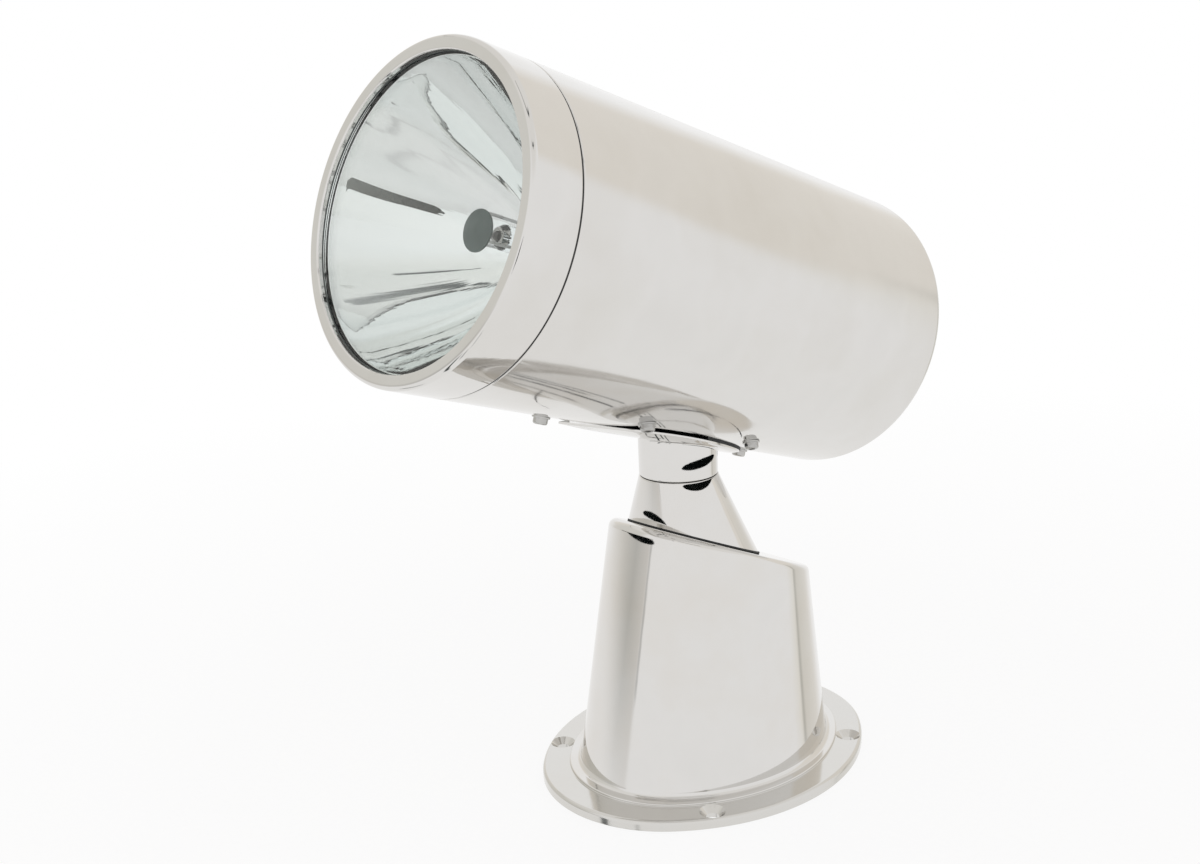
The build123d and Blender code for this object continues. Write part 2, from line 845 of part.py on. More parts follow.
def make_lamp_bulb():
    """Capsule lamp with a pinched stem in the holder."""
    tip = bulb_tip_s
    waist = holder_s - bulb_stem_l
    end = holder_s + bulb_grip - cover_clearance
    return put(head_frame, turned([
        (0, tip), (bulb_tip_r, tip + bulb_tip_h), (bulb_r, tip + bulb_tip_l),
        (bulb_r, waist - bulb_neck_l), (bulb_stem_r, waist), (bulb_stem_r, end), (0, end),
    ]))


def make_glare_shield():
    """Bowed disc in front of the lamp, on three wire legs."""
    rear = shield_s + shield_bow
    body = turned([(0, rear + shield_t), (shield_r, rear + shield_t), (shield_r, rear),
                   (0.6 * shield_r, shield_s + 0.25 * shield_bow), (0, shield_s)])
    for turn in (30, 150, 270):
        leg = disc(shield_leg_r, rear, holder_s - slip_fit, shield_leg_circle)
        body += Rot(0, 0, turn) * leg
    return put(head_frame, body)


def make_lamp_post():
    """Bent sheet post that holds the lamp holder up from the chassis."""
    back = holder_end
    front = back - post_t
    post = box((-post_w / 2, post_w / 2), (-holder_r - post_rise, tube_r), (front, back))
    foot = box((-post_w / 2, post_w / 2), (post_foot_y, tube_r), (front, front + post_foot_l))
    post = (post + foot) & disc(chassis_bore_r - slip_fit, 0, tube_l)
    for x, s in post_screw_places():
        post -= down_hole(m3_r + screw_clearance, x, s)
    return put(head_frame, post - disc(holder_r + slip_fit, front, back))


def post_screw_places():
    """Places of the two screws in the post's foot: across and back."""
    s = holder_end - post_t + post_screw_in
    return [(-post_screw_pitch / 2, s), (post_screw_pitch / 2, s)]


def down_hole(radius, x, s):
    """Cylinder along the head frame's Y, from inside the foot to outside the chassis."""
    low = post_foot_y - m3_grip
    return Pos(x, low, s) * Rot(-90, 0, 0) * disc(radius, 0, tube_r - low)


def make_post_screws():
    """Two screws through the post's foot into the chassis."""
    screw = hex_screw(m3_head_h, post_foot_t + chassis_t - post_screw_tip)
    group = Part()
    for x, s in post_screw_places():
        group += Pos(x, post_foot_y, s) * Rot(90, 0, 0) * screw
    return put(head_frame, group)


def make_chassis():
    """Curved chassis inside the tube, with the collar's seat and the bracket's pillars."""
    shell = ring(chassis_bore_r, chassis_r, 0, tube_l)
    oval = Plane.XZ * (Pos(0, chassis_s) * SlotOverall(2 * chassis_a, 2 * chassis_b, 90))
    body = shell & extrude(oval, -2 * tube_r)
    inside = disc(chassis_r, 0, tube_l)
    raised = disc(seat_r, 0, seat_z)
    for x, y in pan_pads():
        raised += disc(pillar_r, -pillar_root, pan_bracket_low, x, y)
    body += pan_in_head(raised) & inside
    pad_s = ballast_s + pad_set_back
    pads = Part()
    for side in (-1, 1):
        x = sorted((side * pad_inner_x, side * pad_outer_x))
        pads += box(x, (ballast_low, tube_r), (pad_s, pad_s + pad_l))
    body += pads & inside
    body -= pan_in_head(disc(collar_boss_r + slip_fit, 0, seat_z + far_cut))
    for x, y in pan_pads():
        body -= pan_in_head(disc(m3_r + slip_fit, pan_bracket_low - m3_grip, pan_bracket_low, x, y))
    for s, angle in chassis_screw_places():
        body -= on_tube(s, angle, disc(m5_r + slip_fit, -2 * far_cut, far_cut))
    for x, s in post_screw_places():
        body -= down_hole(m3_r + slip_fit, x, s)
    return put(head_frame, body)


def make_collar_nut():
    """Lock nut that clamps the chassis, tube and gasket on the collar."""
    nut = hex_nut(collar_boss_r + slip_fit, lock_nut_wall, collar_boss_top - seat_z)
    return put(pan_frame.offset(seat_z), nut)


def make_chassis_screws():
    """Six cap screws through the tube into the chassis."""
    group = Part()
    for s, angle in chassis_screw_places():
        group += on_tube(s, angle, cap_screw(tube_wall + chassis_t))
    return put(head_frame, group)


def make_pan_bracket():
    """Bracket on the chassis pillars that carries the upper gearmotor."""
    return put(pan_frame.offset(pan_bracket_low), bracket(pan_pads(), pan_centres))


def make_pan_motor():
    """Upper gearmotor, standing on its bracket."""
    return put(pan_frame, Pos(0, pan_centres, pan_bracket_low + bracket_t) * gearmotor())


def make_pan_screws():
    """Three screws of the upper bracket."""
    screw = hex_screw(m3_head_h, bracket_t + m3_grip)
    group = Part()
    for x, y in pan_pads():
        group += Pos(x, y, pan_bracket_low + bracket_t) * screw
    return put(pan_frame, group)


def make_pan_pinion():
    """Pinion of the upper drive, its shaft in the motor."""
    width = pan_gear_w - 2 * pinion_inset
    low = pan_gear_low + pinion_inset
    shaft = pan_bracket_low + bracket_t + motor_shaft_grip - low - width
    return put(pan_frame, Pos(0, pan_centres, low) * pinion(width, shaft))


def make_ballast():
    """Sealed lamp ballast with end flanges and cooling ribs."""
    half = ballast_w / 2
    top = ballast_low - ballast_h
    body = box((-half, half), (top + ballast_rib_h, ballast_low), (ballast_s, ballast_end))
    body = fillet(body.edges().filter_by(Axis.Z), ballast_rib_w)
    first = 2 * ballast_rib_w - half
    step = -2 * first / (ballast_ribs - 1)
    for rib in range(ballast_ribs):
        x = first + step * rib
        rib_x = (x - ballast_rib_w / 2, x + ballast_rib_w / 2)
        body += box(rib_x, (top, top + ballast_rib_h + cut_over), (ballast_s, ballast_end))
    return put(head_frame, body)


makers = {
    "base_casting": make_base_casting,
    "deck_seal": make_deck_seal,
    "bottom_plate": make_bottom_plate,
    "plate_screws": make_plate_screws,
    "cable_grommet": make_cable_grommet,
    "board_spacers": make_board_spacers,
    "control_board": make_control_board,
    "face_bush": make_face_bush,
    "tilt_bracket": make_tilt_bracket,
    "tilt_motor": make_tilt_motor,
    "tilt_screws": make_tilt_screws,
    "tilt_pinion": make_tilt_pinion,
    "turning_cone": make_turning_cone,
    "face_seal": make_face_seal,
    "tilt_gear": make_tilt_gear,
    "spindle_nut": make_spindle_nut,
    "neck_seal": make_neck_seal,
    "pan_gear": make_pan_gear,
    "stem_nut": make_stem_nut,
    "neck_collar": make_neck_collar,
    "collar_bush": make_collar_bush,
    "saddle_gasket": make_saddle_gasket,
    "head_tube": make_head_tube,
    "bezel_ring": make_bezel_ring,
    "joint_ring": make_joint_ring,
    "lens_gasket": make_lens_gasket,
    "lens_glass": make_lens_glass,
    "reflector": make_reflector,
    "lamp_holder": make_lamp_holder,
    "lamp_bulb": make_lamp_bulb,
    "glare_shield": make_glare_shield,
    "lamp_post": make_lamp_post,
    "post_screws": make_post_screws,
    "chassis": make_chassis,
    "collar_nut": make_collar_nut,
    "chassis_screws": make_chassis_screws,
    "pan_bracket": make_pan_bracket,
    "pan_motor": make_pan_motor,
    "pan_screws": make_pan_screws,
    "pan_pinion": make_pan_pinion,
    "ballast": make_ballast,
}

for name, make in makers.items():
    export_step(make(), os.path.join("parts", name + ".step"))
    print("wrote", name)
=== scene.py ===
# %% [markdown]
# # A marine searchlight in polished steel
#
# This scene dresses a searchlight that already has its real sizes, joints and bodies. The
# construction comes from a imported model, which is loaded first and never moved. Everything
# below is in metres, in the same frame: +Z is up, the front of the head faces -Y, and the
# origin is the middle of the mounting face.

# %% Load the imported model
import math

import bpy
import numpy as np
from mathutils import Matrix, Vector


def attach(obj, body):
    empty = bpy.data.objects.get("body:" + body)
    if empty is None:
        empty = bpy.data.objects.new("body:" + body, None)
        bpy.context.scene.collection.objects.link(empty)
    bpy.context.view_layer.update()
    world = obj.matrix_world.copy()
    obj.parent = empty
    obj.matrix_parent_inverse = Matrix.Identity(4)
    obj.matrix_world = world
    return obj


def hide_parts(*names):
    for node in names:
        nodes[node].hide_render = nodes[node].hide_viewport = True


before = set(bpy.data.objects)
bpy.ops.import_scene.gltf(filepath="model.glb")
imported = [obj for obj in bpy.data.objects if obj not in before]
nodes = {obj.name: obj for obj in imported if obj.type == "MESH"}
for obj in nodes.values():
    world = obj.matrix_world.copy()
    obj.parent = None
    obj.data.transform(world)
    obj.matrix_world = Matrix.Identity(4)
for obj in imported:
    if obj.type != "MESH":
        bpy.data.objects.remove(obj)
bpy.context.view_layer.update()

MM = 0.001
scene = bpy.context.scene

# %% [markdown]
# ## The sizes that the pieces share
#
# A few sizes of the construction are repeated here, because the polished shells are made
# again as smooth meshes. A mirror shows every facet, so a shell needs many even faces and
# small rounded edges, where the construction only needs the right shape.

# %% Sizes in metres
# Deck flange: half its length and width, and its thickness
FLANGE_A, FLANGE_B, FLANGE_T = 90.5 * MM, 73.5 * MM, 5.0 * MM
# Foot of the pedestal's wall, and the low step round it
FOOT_A, FOOT_B = 71.2 * MM, 56.6 * MM
STEP_W, STEP_H = 4.6 * MM, 1.2 * MM
# Sloping face: its oval, and the height and slope of its plane
FACE_A, FACE_B, FACE_Y, FACE_HEIGHT = 55.5 * MM, 47.5 * MM, 7.0 * MM, 113.0 * MM
FACE_TILT = math.radians(23.0)
# The cone's axis on the face, and the seam between cone and collar
CONE_Y = -4.9 * MM
NECK_Y, NECK_Z = -14.0 * MM, 150.0 * MM
# The head looks up; its axis passes above the seam, and its front lies ahead
HEAD_PITCH = math.radians(18.0)
HEAD_HEIGHT, HEAD_FRONT = 90.4 * MM, 152.6 * MM
TUBE_R = 70.0 * MM
# Deck holes: their circle, and the radius of sink and hole
DECK_PCD, SINK_R, HOLE_R = 146.0 * MM, 6.2 * MM, 3.3 * MM
print("the head is", round(2 * TUBE_R / MM), "mm across")

# %% [markdown]
# ## Local frames
#
# Four frames place everything: two square to the pedestal's sloping face, at its middle and
# at the cone's axis, one upright on the collar, and one along the head. Each is a matrix
# that turns local points into the scene's frame.

# %% Frames as matrices
def frame_matrix(origin, z_axis):
    """Matrix of a frame whose X axis is the scene's X axis."""
    x_axis = Vector((1, 0, 0))
    y_axis = z_axis.cross(x_axis)
    m = Matrix((x_axis, y_axis, z_axis)).transposed().to_4x4()
    m.translation = origin
    return np.array(m)


def face_z(y):
    """Height of the sloping face above a point on the Y axis."""
    return FACE_HEIGHT - math.tan(FACE_TILT) * y


UP = Vector((0, 0, 1))
slope_normal = Vector((0, math.sin(FACE_TILT), math.cos(FACE_TILT)))
FACE = frame_matrix((0, FACE_Y, face_z(FACE_Y)), slope_normal)
TILT = frame_matrix((0, CONE_Y, face_z(CONE_Y)), slope_normal)
COLLAR = frame_matrix((0, NECK_Y, NECK_Z), UP)
head_axis = Vector((0, math.cos(HEAD_PITCH), -math.sin(HEAD_PITCH)))
head_origin = Vector((0, NECK_Y, NECK_Z + HEAD_HEIGHT)) - HEAD_FRONT * head_axis
HEAD = frame_matrix(head_origin, head_axis)


def place(points, matrix):
    """Move an array of local points into the scene's frame."""
    points = np.asarray(points, float)
    return points @ matrix[:3, :3].T + matrix[:3, 3]


print("the head's front is at", [round(v, 4) for v in head_origin])

# %% [markdown]
# ## Writing shader maths as plain expressions
#
# A node tree is easier to read as a formula. A small class wraps a node's output, and its
# operators add Math nodes. Any other node comes from one method that sets the node's own
# options first and its inputs after that.

# %% A wrapped socket and a material builder
class Wire:
    """A number that a shader works out, with the operators that are used."""

    def __init__(self, tree, socket):
        self.tree = tree
        self.socket = socket

    def _math(self, operation, *values):
        return self.tree.node("ShaderNodeMath", {"operation": operation}, values)

    def __add__(self, other):
        return self._math("ADD", self, other)

    def __rsub__(self, other):
        return self._math("SUBTRACT", other, self)

    def __mul__(self, other):
        return self._math("MULTIPLY", self, other)

    __radd__ = __add__


class Tree:
    """A node tree that is filled by calls to node()."""

    def __init__(self, tree):
        self.nodes = tree.nodes
        self.links = tree.links
        self.nodes.clear()

    def node(self, kind, settings=None, inputs=(), output=0):
        """Add a node, set its options, then its inputs by place or by name."""
        made = self.nodes.new(kind)
        for name, value in (settings or {}).items():
            setattr(made, name, value)
        pairs = inputs.items() if isinstance(inputs, dict) else enumerate(inputs)
        for key, value in pairs:
            if isinstance(value, Wire):
                self.links.new(value.socket, made.inputs[key])
            else:
                made.inputs[key].default_value = value
        return Wire(self, made.outputs[output]) if len(made.outputs) else None

    def ramp(self, factor, stops):
        """Colour ramp with (place, colour) stops."""
        made = self.nodes.new("ShaderNodeValToRGB")
        marks = made.color_ramp.elements
        while len(marks) < len(stops):
            marks.new(1.0)
        for mark, (where, colour) in zip(marks, stops):
            mark.position = where
            mark.color = (*colour, 1.0)
        self.links.new(factor.socket, made.inputs[0])
        return Wire(self, made.outputs[0])

    def mix(self, factor, one, other):
        """Blend two colours."""
        made = self.nodes.new("ShaderNodeMix")
        made.data_type = "RGBA"
        for place_in, value in ((0, factor), (6, one), (7, other)):
            if isinstance(value, Wire):
                self.links.new(value.socket, made.inputs[place_in])
            else:
                made.inputs[place_in].default_value = (*value, 1.0)
        return Wire(self, made.outputs[2])

    def places(self, turn=(0, 0, 0), scale=(1, 1, 1)):
        """The piece's own coordinates, turned and scaled."""
        object_places = self.node("ShaderNodeTexCoord", output="Object")
        return self.node("ShaderNodeMapping", inputs={
            "Vector": object_places, "Rotation": turn, "Scale": scale})

    def noise(self, places, scale, detail=3.0, roughness=0.5):
        """A soft random pattern, from 0 to 1."""
        return self.node("ShaderNodeTexNoise", inputs={
            "Vector": places, "Scale": scale, "Detail": detail, "Roughness": roughness})

    def spread(self, value, low, high):
        """Stretch a pattern's middle range over low to high."""
        return self.node("ShaderNodeMapRange", inputs=(value, 0.3, 0.7, low, high))

    def bump(self, height, distance):
        """Small surface relief from a height pattern."""
        return self.node("ShaderNodeBump", inputs={
            "Strength": 1.0, "Distance": distance, "Height": height})


def finish_of(name, build, **fixed):
    """Make a material: fixed values go on the shader, build() returns what varies."""
    material = bpy.data.materials.new(name)
    material.use_nodes = True
    tree = Tree(material.node_tree)
    varied = build(tree)
    shader = tree.node("ShaderNodeBsdfPrincipled", inputs={**fixed, **varied})
    tree.node("ShaderNodeOutputMaterial", inputs={"Surface": shader})
    return material


print("shader helpers are ready")

# %% [markdown]
# ## Polished stainless steel
#
# The casings are cast and drawn stainless steel, buffed to a mirror. A real mirror polish is
# never perfect: buffing leaves hair lines that follow the wheel, the metal waves a little,
# and some patches are a touch duller or warmer. The lines change only the roughness and a
# bump of a few hundredths of a millimetre, so that they show where a reflection ends. The
# flange is a little satin, because the wheel doesn't reach well beside the wall.

# %% Steel finishes
SATIN_TINT, SATIN_SHARE, SATIN_EDGE = (0.67, 0.66, 0.635), 0.6, 0.0006


def polish(turn, line_scale, low, high, warm=0.0, satin_below=0.0):
    """Buffed steel with hair lines along one direction, satin below a height."""
    def build(t):
        lines = t.noise(t.places(turn, line_scale), 60.0, 2.0)
        wave = t.noise(t.places(), 22.0, 1.0)
        patch = t.noise(t.places(), 14.0, 4.0, 0.6)
        tint = t.ramp(patch, [(0.30, (0.72 + warm, 0.705, 0.68 - warm)),
                              (0.55, (0.755, 0.745, 0.73)),
                              (0.75, (0.73, 0.72, 0.705))])
        rough = t.spread(lines, low, high) + t.spread(patch, 0.0, 0.03)
        if satin_below:
            height = t.node("ShaderNodeSeparateXYZ", inputs=(t.places(),), output="Z")
            satin = t.node("ShaderNodeMapRange", inputs=(
                height, satin_below, satin_below + SATIN_EDGE, 1.0, 0.0))
            tint = t.mix(satin * SATIN_SHARE, tint, SATIN_TINT)
            rough = rough + satin * (0.03 + lines * 0.06)
        relief = lines * 0.25 + wave
        return {"Base Color": tint, "Roughness": rough,
                "Normal": t.bump(relief, 0.00006)}
    return build


STEEL = dict(Metallic=1.0)
drawn_steel = finish_of("drawn_steel", polish((0, 0, 0), (6, 0.6, 0.6), 0.05, 0.10), **STEEL)
cast_steel = finish_of("cast_steel", polish(
    (0, 0, 0), (5, 5, 0.35), 0.02, 0.05, warm=0.01, satin_below=0.0052), **STEEL)
turned_steel = finish_of("turned_steel", polish((0, 0, 0), (0.5, 0.5, 8), 0.02, 0.05), **STEEL)
print("made", [m.name for m in (drawn_steel, cast_steel, turned_steel)])

# %% Steel of the screws and hidden parts
def machined(low, high, colour):
    """Plain steel with fine turning marks and small stains."""
    def build(t):
        grain = t.noise(t.places((0, 0, 0), (1, 1, 6)), 420.0, 3.0)
        stain = t.noise(t.places(), 90.0, 3.0)
        dark = tuple(0.82 * c for c in colour)
        return {"Base Color": t.ramp(stain, [(0.35, dark), (0.6, colour)]),
                "Roughness": t.spread(grain, low, high),
                "Normal": t.bump(grain, 0.00002)}
    return build


screw_steel = finish_of("screw_steel", machined(0.08, 0.18, (0.58, 0.575, 0.56)), **STEEL)
plain_steel = finish_of("plain_steel", machined(0.22, 0.42, (0.58, 0.58, 0.58)), **STEEL)
gear_steel = finish_of("gear_steel", machined(0.28, 0.40, (0.46, 0.46, 0.47)), **STEEL)
bronze = finish_of("bearing_bronze", machined(0.20, 0.38, (0.70, 0.48, 0.24)), **STEEL)
motor_steel = finish_of("motor_case", machined(0.18, 0.30, (0.62, 0.62, 0.64)), **STEEL)
aluminium = finish_of("blasted_aluminium", machined(0.45, 0.62, (0.66, 0.66, 0.67)), **STEEL)
print("made the steels of the hidden pieces")

# %% [markdown]
# ## Rubber, glass, paint and ceramic
#
# The seals are black moulded rubber, a little dusty. The lens is clear toughened glass. The
# small disc in front of the lamp is sprayed with a dark grey-green heat-proof paint.

# %% Other finishes
def speckled(light, dark, scale, low, high, depth):
    """Colour that varies softly between two tones, with matching roughness and relief."""
    def build(t):
        cloud = t.noise(t.places(), scale, 4.0)
        grain = t.noise(t.places(), 9.0 * scale, 2.0)
        return {"Base Color": t.ramp(cloud, [(0.38, dark), (0.62, light)]),
                "Roughness": t.spread(grain, low, high),
                "Normal": t.bump(grain, depth)}
    return build


rubber = finish_of("black_rubber", speckled(
    (0.030, 0.031, 0.032), (0.014, 0.015, 0.016), 120.0, 0.55, 0.75, 0.00004))
grey_rubber = finish_of("grey_rubber", speckled(
    (0.115, 0.128, 0.124), (0.085, 0.097, 0.094), 120.0, 0.45, 0.65, 0.00004))
shield_paint = finish_of("shield_paint", speckled(
    (0.140, 0.190, 0.180), (0.110, 0.155, 0.148), 160.0, 0.38, 0.50, 0.00003))
ceramic = finish_of("holder_ceramic", speckled(
    (0.86, 0.84, 0.79), (0.78, 0.76, 0.70), 90.0, 0.18, 0.30, 0.00002))
nylon = finish_of("white_nylon", speckled(
    (0.80, 0.80, 0.76), (0.72, 0.72, 0.68), 90.0, 0.35, 0.50, 0.00003))
laminate = finish_of("board_laminate", speckled(
    (0.030, 0.170, 0.075), (0.018, 0.110, 0.050), 200.0, 0.30, 0.45, 0.00003))


def clear(t):
    """Faint smears on a clean pane."""
    smear = t.noise(t.places((0, 0, 0), (1, 3, 1)), 30.0, 3.0)
    return {"Roughness": t.spread(smear, 0.0, 0.012)}


glass = finish_of("clear_glass", clear, **{
    "Base Color": (0.965, 0.985, 0.98, 1), "Transmission Weight": 1.0, "IOR": 1.45})
quartz = finish_of("lamp_quartz", clear, **{
    "Base Color": (0.97, 0.98, 1.0, 1), "Transmission Weight": 1.0, "IOR": 1.46})
print("made rubber, paint, ceramic, nylon, laminate and two glasses")

# %% [markdown]
# ## The mirror of the lamp
#
# The reflector is spun aluminium with a bright coating. Spinning leaves very slight flutes
# that run from the neck to the rim, and they pull each reflection into long rays. The flutes
# are worked out from the angle round the head's axis, so they stay with the piece. The colour
# is also painted lighter and darker in broad wedges round that axis: painted reflection rays.

# %% Reflector finish
def fluted(t):
    """Angle round the head's axis, as a wavy relief with uneven flutes."""
    lean = (HEAD_PITCH - math.pi / 2, 0, 0)
    centred = t.node("ShaderNodeVectorMath", {"operation": "SUBTRACT"}, (
        t.node("ShaderNodeTexCoord", output="Object"), tuple(head_origin)))
    local = t.node("ShaderNodeMapping", {"vector_type": "POINT"}, {
        "Vector": centred, "Rotation": lean})
    flat = t.node("ShaderNodeVectorMath", {"operation": "MULTIPLY"}, (local, (1, 1, 0)))
    ray = t.node("ShaderNodeVectorMath", {"operation": "NORMALIZE"}, (flat,))
    broad = t.noise(ray, 2.6, 1.0)
    fine = t.noise(ray, 16.0, 2.0)
    # Painted reflection: the base colour turns lighter and darker in broad wedges round the
    # axis, drawing rays
    painted_ray_tone = t.ramp(broad, [(0.35, (0.86, 0.885, 0.88)), (0.60, (0.93, 0.945, 0.94))])
    return {"Base Color": painted_ray_tone, "Roughness": t.spread(fine, 0.004, 0.02),
            "Normal": t.bump(broad * 1.3 + fine * 0.07, 0.0006)}


reflector_mirror = finish_of("reflector_mirror", fluted, **STEEL)
print("made", reflector_mirror.name)

# %% [markdown]
# ## Skins made of rings
#
# Every shell here is a closed skin: a row of rings, each with the same number of points,
# joined by four-sided faces. A corner between two walls is rounded by replacing its ring
# with several rings on an arc. One more ring a little beside each arc keeps the wall next to
# it flat, so that a reflection on the wall stays straight right up to the rounding.

# %% Rounding the corners of a row of rings
STEPS = 6
BESIDE = 0.2 * MM
CREASE = math.radians(32)


def unit(v):
    """Vectors of length one."""
    return v / np.maximum(np.linalg.norm(v, axis=-1, keepdims=True), 1e-12)


def rounded(rings, radii, closed=False):
    """Replace each ring whose radius isn't zero by rings on an arc."""
    count = len(rings)
    made = []
    for k, (ring, radius) in enumerate(zip(rings, radii)):
        inner = closed or 0 < k < count - 1
        if not radius or not inner:
            made.append(ring)
            continue
        into = unit(ring - rings[k - 1])
        out = unit(rings[(k + 1) % count] - ring)
        cos_turn = np.clip((into * out).sum(-1, keepdims=True), -0.9999, 0.9999)
        turn = np.arccos(cos_turn)
        reach = radius * np.tan(turn / 2)
        across = (out - into * cos_turn) / np.sin(turn)
        centre = ring - into * reach + across * radius
        made.append(ring - into * (reach + BESIDE))
        for step in range(STEPS + 1):
            angle = turn * step / STEPS
            made.append(centre - across * radius * np.cos(angle)
                        + into * radius * np.sin(angle))
        made.append(ring + out * (reach + BESIDE))
    return made


print("an arc has", STEPS + 1, "rings")

# %% Closing rings into a mesh
def add_object(name, data):
    """New object in the scene."""
    made = bpy.data.objects.new(name, data)
    scene.collection.objects.link(made)
    return made


def skin(name, rings, finish, closed=False):
    """Join rings into a closed mesh with outward faces and one finish."""
    rings = [np.asarray(r, float) for r in rings]
    size = len(rings[0])
    points, index = [], []
    for ring in rings:
        start = len(points)
        if np.ptp(ring, axis=0).max() < 1e-9:
            points.append(ring[0])
            index.append([start] * size)
        else:
            points.extend(ring)
            index.append(list(range(start, start + size)))
    faces = []
    pairs = list(zip(index, index[1:])) + ([(index[-1], index[0])] if closed else [])
    for low, high in pairs:
        for k in range(size):
            j = (k + 1) % size
            corners = list(dict.fromkeys((low[k], low[j], high[j], high[k])))
            if len(corners) > 2:
                faces.append(corners)
    mesh = bpy.data.meshes.new(name)
    mesh.from_pydata([tuple(p) for p in points], [], faces)
    mesh.materials.append(finish)
    face_out(mesh)
    mesh.shade_smooth()
    mesh.set_sharp_from_angle(angle=CREASE)
    return add_object(name, mesh)


def shell(name, rows, finish, closed=True):
    """Skin from rows of a ring and its rounding in millimetres."""
    rings = rounded([ring for ring, _ in rows], [edge * MM for _, edge in rows], closed)
    return skin(name, rings, finish, closed)


def face_out(mesh):
    """Turn a closed mesh inside out if its volume comes out negative."""
    mesh.calc_loop_triangles()
    corners = np.empty(3 * len(mesh.loop_triangles), np.int32)
    mesh.loop_triangles.foreach_get("vertices", corners)
    places = np.empty(3 * len(mesh.vertices))
    mesh.vertices.foreach_get("co", places)
    a, b, c = places.reshape(-1, 3)[corners.reshape(-1, 3)].transpose(1, 0, 2)
    if (np.cross(a, b) * c).sum() < 0:
        mesh.flip_normals()


AROUND = 256
angles = np.arange(AROUND) * 2 * math.pi / AROUND
print("rings have", AROUND, "points")

# %% [markdown]
# ## Ovals of four arcs
#
# The flange, the foot and the sloping face are ovals made of four arcs that meet at 45
# degrees. Their points are spread by the direction in which the edge faces, so the points of
# two ovals match where a wall joins them.

# %% Rings: circles, ovals and lathe profiles
def circle(radius, z=0.0, count=AROUND):
    """Circle about the Z axis, at a height."""
    a = np.arange(count) * 2 * math.pi / count
    return np.stack([radius * np.cos(a), radius * np.sin(a), np.full(count, z)], axis=1)


def oval(a, b, grow=0.0, z=0.0, y=0.0):
    """Four-arc oval, a along Y and b along X, grown outwards."""
    s = math.sin(math.pi / 4)
    c = 1 - s
    end_r = (s * b - c * a) / (s * s - c * c)
    side_r = (s * a - c * b) / (s * s - c * c)
    on_side = np.abs(np.cos(angles)) > np.abs(np.sin(angles)) - 1e-9
    radius = np.where(on_side, side_r, end_r) + grow
    x = np.where(on_side, -np.sign(np.cos(angles)) * (side_r - b), 0.0)
    mid = np.where(on_side, 0.0, np.sign(np.sin(angles)) * (a - end_r))
    return np.stack([x + radius * np.cos(angles), y + mid + radius * np.sin(angles),
                     np.full(AROUND, z)], axis=1)


def lathe(name, profile, finish, matrix=HEAD, closed=True, count=AROUND):
    """Turn (radius, height, rounding) in millimetres about a frame's Z axis."""
    rows = [(place(circle(r * MM, z * MM, count), matrix), edge) for r, z, edge in profile]
    return shell(name, rows, finish, closed)


print("an oval of the foot is", np.round(np.ptp(oval(FOOT_A, FOOT_B), axis=0)[:2], 4))

# %% [markdown]
# ## The pedestal
#
# The pedestal is one casting: a wide oval flange, a low step, and a wall that rises and
# narrows to an oval on a sloping plane. The wall is ruled, so it is a straight line between
# matching points of the two ovals. All edges are softly rounded by the polishing wheel,
# and the wall flows into the step with a small hollow. Inside is a drafted chamber.

# %% Rings of the pedestal
def mix_rings(low, high, parts):
    """Rings between two rings, at equal steps."""
    return [low + (high - low) * k / parts for k in range(1, parts)]


def to_plane(ring, depth):
    """Lift points straight up to a plane below the sloping face."""
    lifted = ring.copy()
    lifted[:, 2] = face_z(ring[:, 1]) - depth / math.cos(FACE_TILT)
    return lifted


# The bush's seat in the face, the chamber, and the land with the seal's groove
BUSH_R, BUSH_DEPTH, BORE_R, FACE_WALL = 19.05 * MM, 1.6 * MM, 15.02 * MM, 6 * MM
CHAMBER = dict(a=44.5 * MM, b=43 * MM, y=3 * MM)
CHAMBER_LOW, LAND, SEAL_DEPTH = 50 * MM, 4 * MM, 2 * MM

foot = oval(FOOT_A, FOOT_B)
rim = place(oval(FACE_A, FACE_B), FACE)
step_top = FLANGE_T + STEP_H
share = (step_top - foot[:, 2]) / (rim[:, 2] - foot[:, 2])
wall_root = foot + (rim - foot) * share[:, None]
pedestal = shell("pedestal_shell", [
    (oval(FLANGE_A, FLANGE_B), 0.3),
    (oval(FLANGE_A, FLANGE_B, z=FLANGE_T), 1.7),
    (oval(FOOT_A, FOOT_B, STEP_W, FLANGE_T), 0.3),
    (oval(FOOT_A, FOOT_B, STEP_W, step_top), 0.45),
    (wall_root, 2.6),
    *[(ring, 0) for ring in mix_rings(wall_root, rim, 24)[1:-1]],
    (rim, 4),
    (place(circle(BUSH_R), TILT), 0.15),
    (place(circle(BUSH_R, -BUSH_DEPTH), TILT), 0),
    (place(circle(BORE_R, -BUSH_DEPTH), TILT), 0),
    (place(circle(BORE_R, -FACE_WALL), TILT), 0),
    (to_plane(oval(**CHAMBER), FACE_WALL), 0),
    (oval(**CHAMBER, z=CHAMBER_LOW), 0),
    (oval(FOOT_A, FOOT_B, -LAND), 0),
    (foot, 0),
    (oval(FOOT_A, FOOT_B, z=SEAL_DEPTH), 0),
    (oval(FOOT_A, FOOT_B, LAND, SEAL_DEPTH), 0),
    (oval(FOOT_A, FOOT_B, LAND), 0),
], cast_steel)
print("the pedestal has", len(pedestal.data.polygons), "faces")

# %% [markdown]
# Four countersunk holes are cut through the flange. A Boolean modifier subtracts turned
# cutters, and the result is kept as a plain mesh.

# %% Deck holes
def settle(made):
    """Apply an object's modifiers and keep the result as its mesh."""
    graph = bpy.context.evaluated_depsgraph_get()
    result = bpy.data.meshes.new_from_object(made.evaluated_get(graph))
    made.modifiers.clear()
    made.data = result


def cut(body, cutters):
    """Subtract closed meshes from a body."""
    for cutter in cutters:
        change = body.modifiers.new("cut", "BOOLEAN")
        change.operation = "DIFFERENCE"
        change.object = cutter
    settle(body)
    for cutter in cutters:
        bpy.data.objects.remove(cutter)


